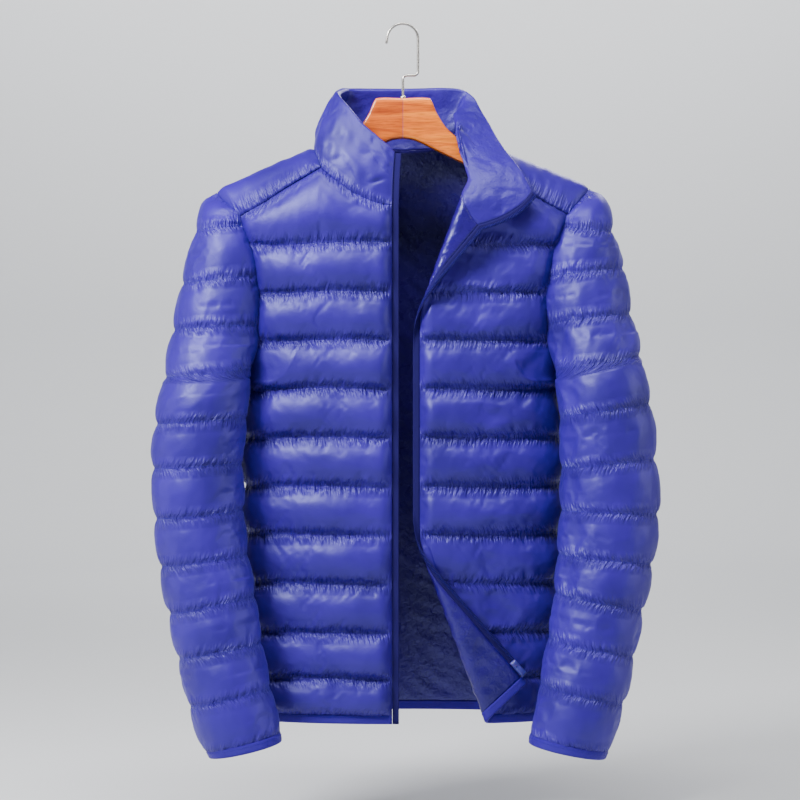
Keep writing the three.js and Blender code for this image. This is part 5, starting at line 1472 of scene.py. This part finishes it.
def tube(name, line, radius, sides, look, slot, cad=None, drop=HANG):
    """A closed round tube along a line of points."""
    line = np.asarray(line, float)
    along = unit(np.gradient(line, axis=0))
    guide = np.array([0.0, 1.0, 0.0])
    across = []
    last = unit(np.cross(along[0], guide) + 1e-6)
    for way in along:
        last = last - way * np.dot(last, way)
        last = last / max(np.linalg.norm(last), 1e-9)
        across.append(last)
    across = np.array(across)
    other = np.cross(along, across)
    radii = np.broadcast_to(radius, len(line))
    angles = np.arange(sides) / sides * 2 * math.pi
    rings = [line + radii[:, None] * (across * math.cos(a) + other * math.sin(a)) for a in angles]
    points = np.array(rings).transpose(1, 0, 2).reshape(-1, 3)
    faces = []
    for k in range(len(line) - 1):
        for j in range(sides):
            a, b = k * sides + j, k * sides + (j + 1) % sides
            faces.append((a, b, b + sides, a + sides))
    faces.append(tuple(range(sides))[::-1])
    faces.append(tuple(range(len(points) - sides, len(points))))
    mesh = mesh_of(name, points, faces, drop)
    mesh.materials.append(look)
    mesh.polygons.foreach_set("use_smooth", np.ones(len(faces), bool))
    return place(name, mesh, cad)


def build_pin():
    """The retaining pin and box at the foot of the left tape, on the turned corner."""
    z = np.linspace(-806.35, -829, 14)
    lanes = []
    for share in np.linspace(0, 1, 7):
        x = np.full(len(z), mix(LEFT["edge"] - GAP, LEFT["tape"], share))
        lanes.append(folded_point(LEFT, x, z, -1))
    points = np.array(lanes).transpose(1, 0, 2)
    normals = normals_of(points, -1)
    r, c = np.meshgrid(np.linspace(0, 1, 14), np.linspace(0, 1, 7), indexing="ij")
    rise = settle(np.minimum(r, 1 - r), 0.12) * settle(np.minimum(c, 1 - c), 0.25)
    waist = 1 - 0.45 * smooth(1 - np.abs(r - 0.42) / 0.06)
    outer = points + normals * (1.4 + 2.4 * rise * waist)[..., None]
    fine = finer(finer(outer, 0), 1)
    shell("pin_left", points, fine, [PLASTIC], None, "zip_pin")


# Hanger

WOOD_DEPTH = 17
WOOD_FORWARD = 5
WOOD_END_X = 195
wood_upper = curve([0, 32.5, 36, 42, 54, 80, 119, 165, 188, 195], [-81, -81, -86, -100, -118, -139.5, -161.5, -178.3, -187.9, -192])
wood_lower = curve([0, 15, 45, 74, 119, 165, 182, 195], [-130, -132.5, -147, -161, -184, -203, -208, -210])


def build_wood(side, look):
    """One half of the hanger, lofted from rounded sections."""
    stations = [GAP / 2, *np.linspace(2, 32.3, 12), *np.linspace(32.6, 60, 22), *np.linspace(64, 176, 30)]
    stations += [*(WOOD_END_X - 19 * np.cos(np.linspace(0.12, math.pi / 2 - 0.02, 12)))]
    rows = []
    sides = 40
    for x in stations:
        high, low = float(wood_upper(x)), float(wood_lower(x))
        if x > WOOD_END_X - 19:
            t = (x - (WOOD_END_X - 19)) / 19
            shrink = math.sqrt(max(0.0004, 1 - t * t))
        else:
            shrink = 1
        middle = (high + low) / 2
        half = (high - low) / 2 * shrink
        arm = clamp((x - 60) / (WOOD_END_X - 60))
        round_off = 0.3
        ring = []
        for k in range(sides):
            angle = 2 * math.pi * k / sides
            cy, cz = math.cos(angle), math.sin(angle)
            y = WOOD_DEPTH / 2 * math.copysign(abs(cy) ** round_off, cy) * (0.55 + 0.45 * shrink)
            z = middle + half * math.copysign(abs(cz) ** round_off, cz)
            ring.append((side["sign"] * x, y - WOOD_FORWARD * arm * arm, z + shoulder_lift(side, x)))
        rows.append(ring)
    points = np.array(rows).reshape(-1, 3)
    count = len(stations)
    faces = []
    for k in range(count - 1):
        for j in range(sides):
            a, b = k * sides + j, k * sides + (j + 1) % sides
            faces.append((a, b, b + sides, a + sides))
    faces.append(tuple(range(sides))[::-1])
    faces.append(tuple(range((count - 1) * sides, count * sides)))
    mesh = mesh_of("hanger_" + side["name"], points, faces)
    for edge in mesh.edges:
        edge.use_edge_sharp = max(edge.vertices) < sides
    mesh.materials.append(look)
    mesh.polygons.foreach_set("use_smooth", np.ones(len(faces), bool))
    place("hanger_" + side["name"], mesh, "hanger_wood_" + side["name"])


WIRE = 3.2
HOOK_BEND = 19
HOOK_SHANK_X = 18.6
HOOK_JOG_Z = -62
HOOK_JOG = 5
HOOK_TIP_X, HOOK_TIP_Z = -20.2, -23
WOOD_TOP = -81


def build_hook():
    """The wire from the wood up to the hook's tip, and the ferrule at its foot."""
    jog, top_z, low = HOOK_JOG, WIRE / 2 - HOOK_BEND, WOOD_TOP - HANG
    line = [(0, 0, z) for z in np.linspace(low + 0.4, HOOK_JOG_Z - jog, 12)]
    for t in np.linspace(0, 1, 9)[1:]:
        a = t * math.pi / 2
        line.append((jog * (1 - math.cos(a)), 0, HOOK_JOG_Z - jog + jog * math.sin(a)))
    line += [(x, 0, HOOK_JOG_Z) for x in np.linspace(jog, HOOK_SHANK_X - jog, 5)[1:]]
    for t in np.linspace(0, 1, 9)[1:]:
        a = t * math.pi / 2
        line.append((HOOK_SHANK_X - jog + jog * math.sin(a), 0, HOOK_JOG_Z + jog * (1 - math.cos(a))))
    line += [(HOOK_SHANK_X, 0, z) for z in np.linspace(HOOK_JOG_Z + jog, top_z, 9)[1:]]
    for t in np.linspace(0, 1, 40)[1:]:
        a = t * math.pi
        line.append((HOOK_SHANK_X - HOOK_BEND * (1 - math.cos(a)), 0, top_z + HOOK_BEND * math.sin(a)))
    radii = [WIRE / 2] * len(line) + [WIRE / 2 * 1.05, WIRE / 2 * 0.9, WIRE / 2 * 0.5]
    line += [(HOOK_TIP_X, 0, z) for z in (HOOK_TIP_Z + 1.4, HOOK_TIP_Z + 0.5, HOOK_TIP_Z)]
    tube("hook_wire", line, np.array(radii), 20, STEEL, "steel", "hook", 0)
    profile = [(0.0, 0.2), (3.4, 0.2), (3.5, 0.6), (3.5, 1.7), (3.2, 2.3), (2.3, 3.6), (1.9, 4.0), (1.65, 4.1), (0.0, 4.1)]
    sides, points, faces = 28, [], []
    for radius, up in profile[1:-1]:
        for k in range(sides):
            a = 2 * math.pi * k / sides
            points.append((radius * math.cos(a), radius * math.sin(a), low + up))
    for k in range(len(profile) - 3):
        for j in range(sides):
            a, b = k * sides + j, k * sides + (j + 1) % sides
            faces.append((a, b, b + sides, a + sides))
    faces.append(tuple(range(sides))[::-1])
    faces.append(tuple(range(len(points) - sides, len(points))))
    mesh = mesh_of("hook_ferrule", np.array(points), faces, 0)
    mesh.materials.append(STEEL)
    mesh.polygons.foreach_set("use_smooth", np.ones(len(faces), bool))
    place("hook_ferrule", mesh)


set_camera()
fronts, back, sleeves, collar = build_quilted()
bands = build_bindings(fronts, back, sleeves)
stitch_piece("binding_stitches", bands)
runs = []
for grid in (*fronts.values(), back, *sleeves.values()):
    runs += quilt_stitches(grid, grid.outward)
stitch_piece("quilt_stitches", runs)
build_zip(fronts, collar)
build_pin()
build_wood(RIGHT, WOOD_RIGHT)
build_wood(LEFT, WOOD_LEFT)
build_hook()
set_stage()
set_light()
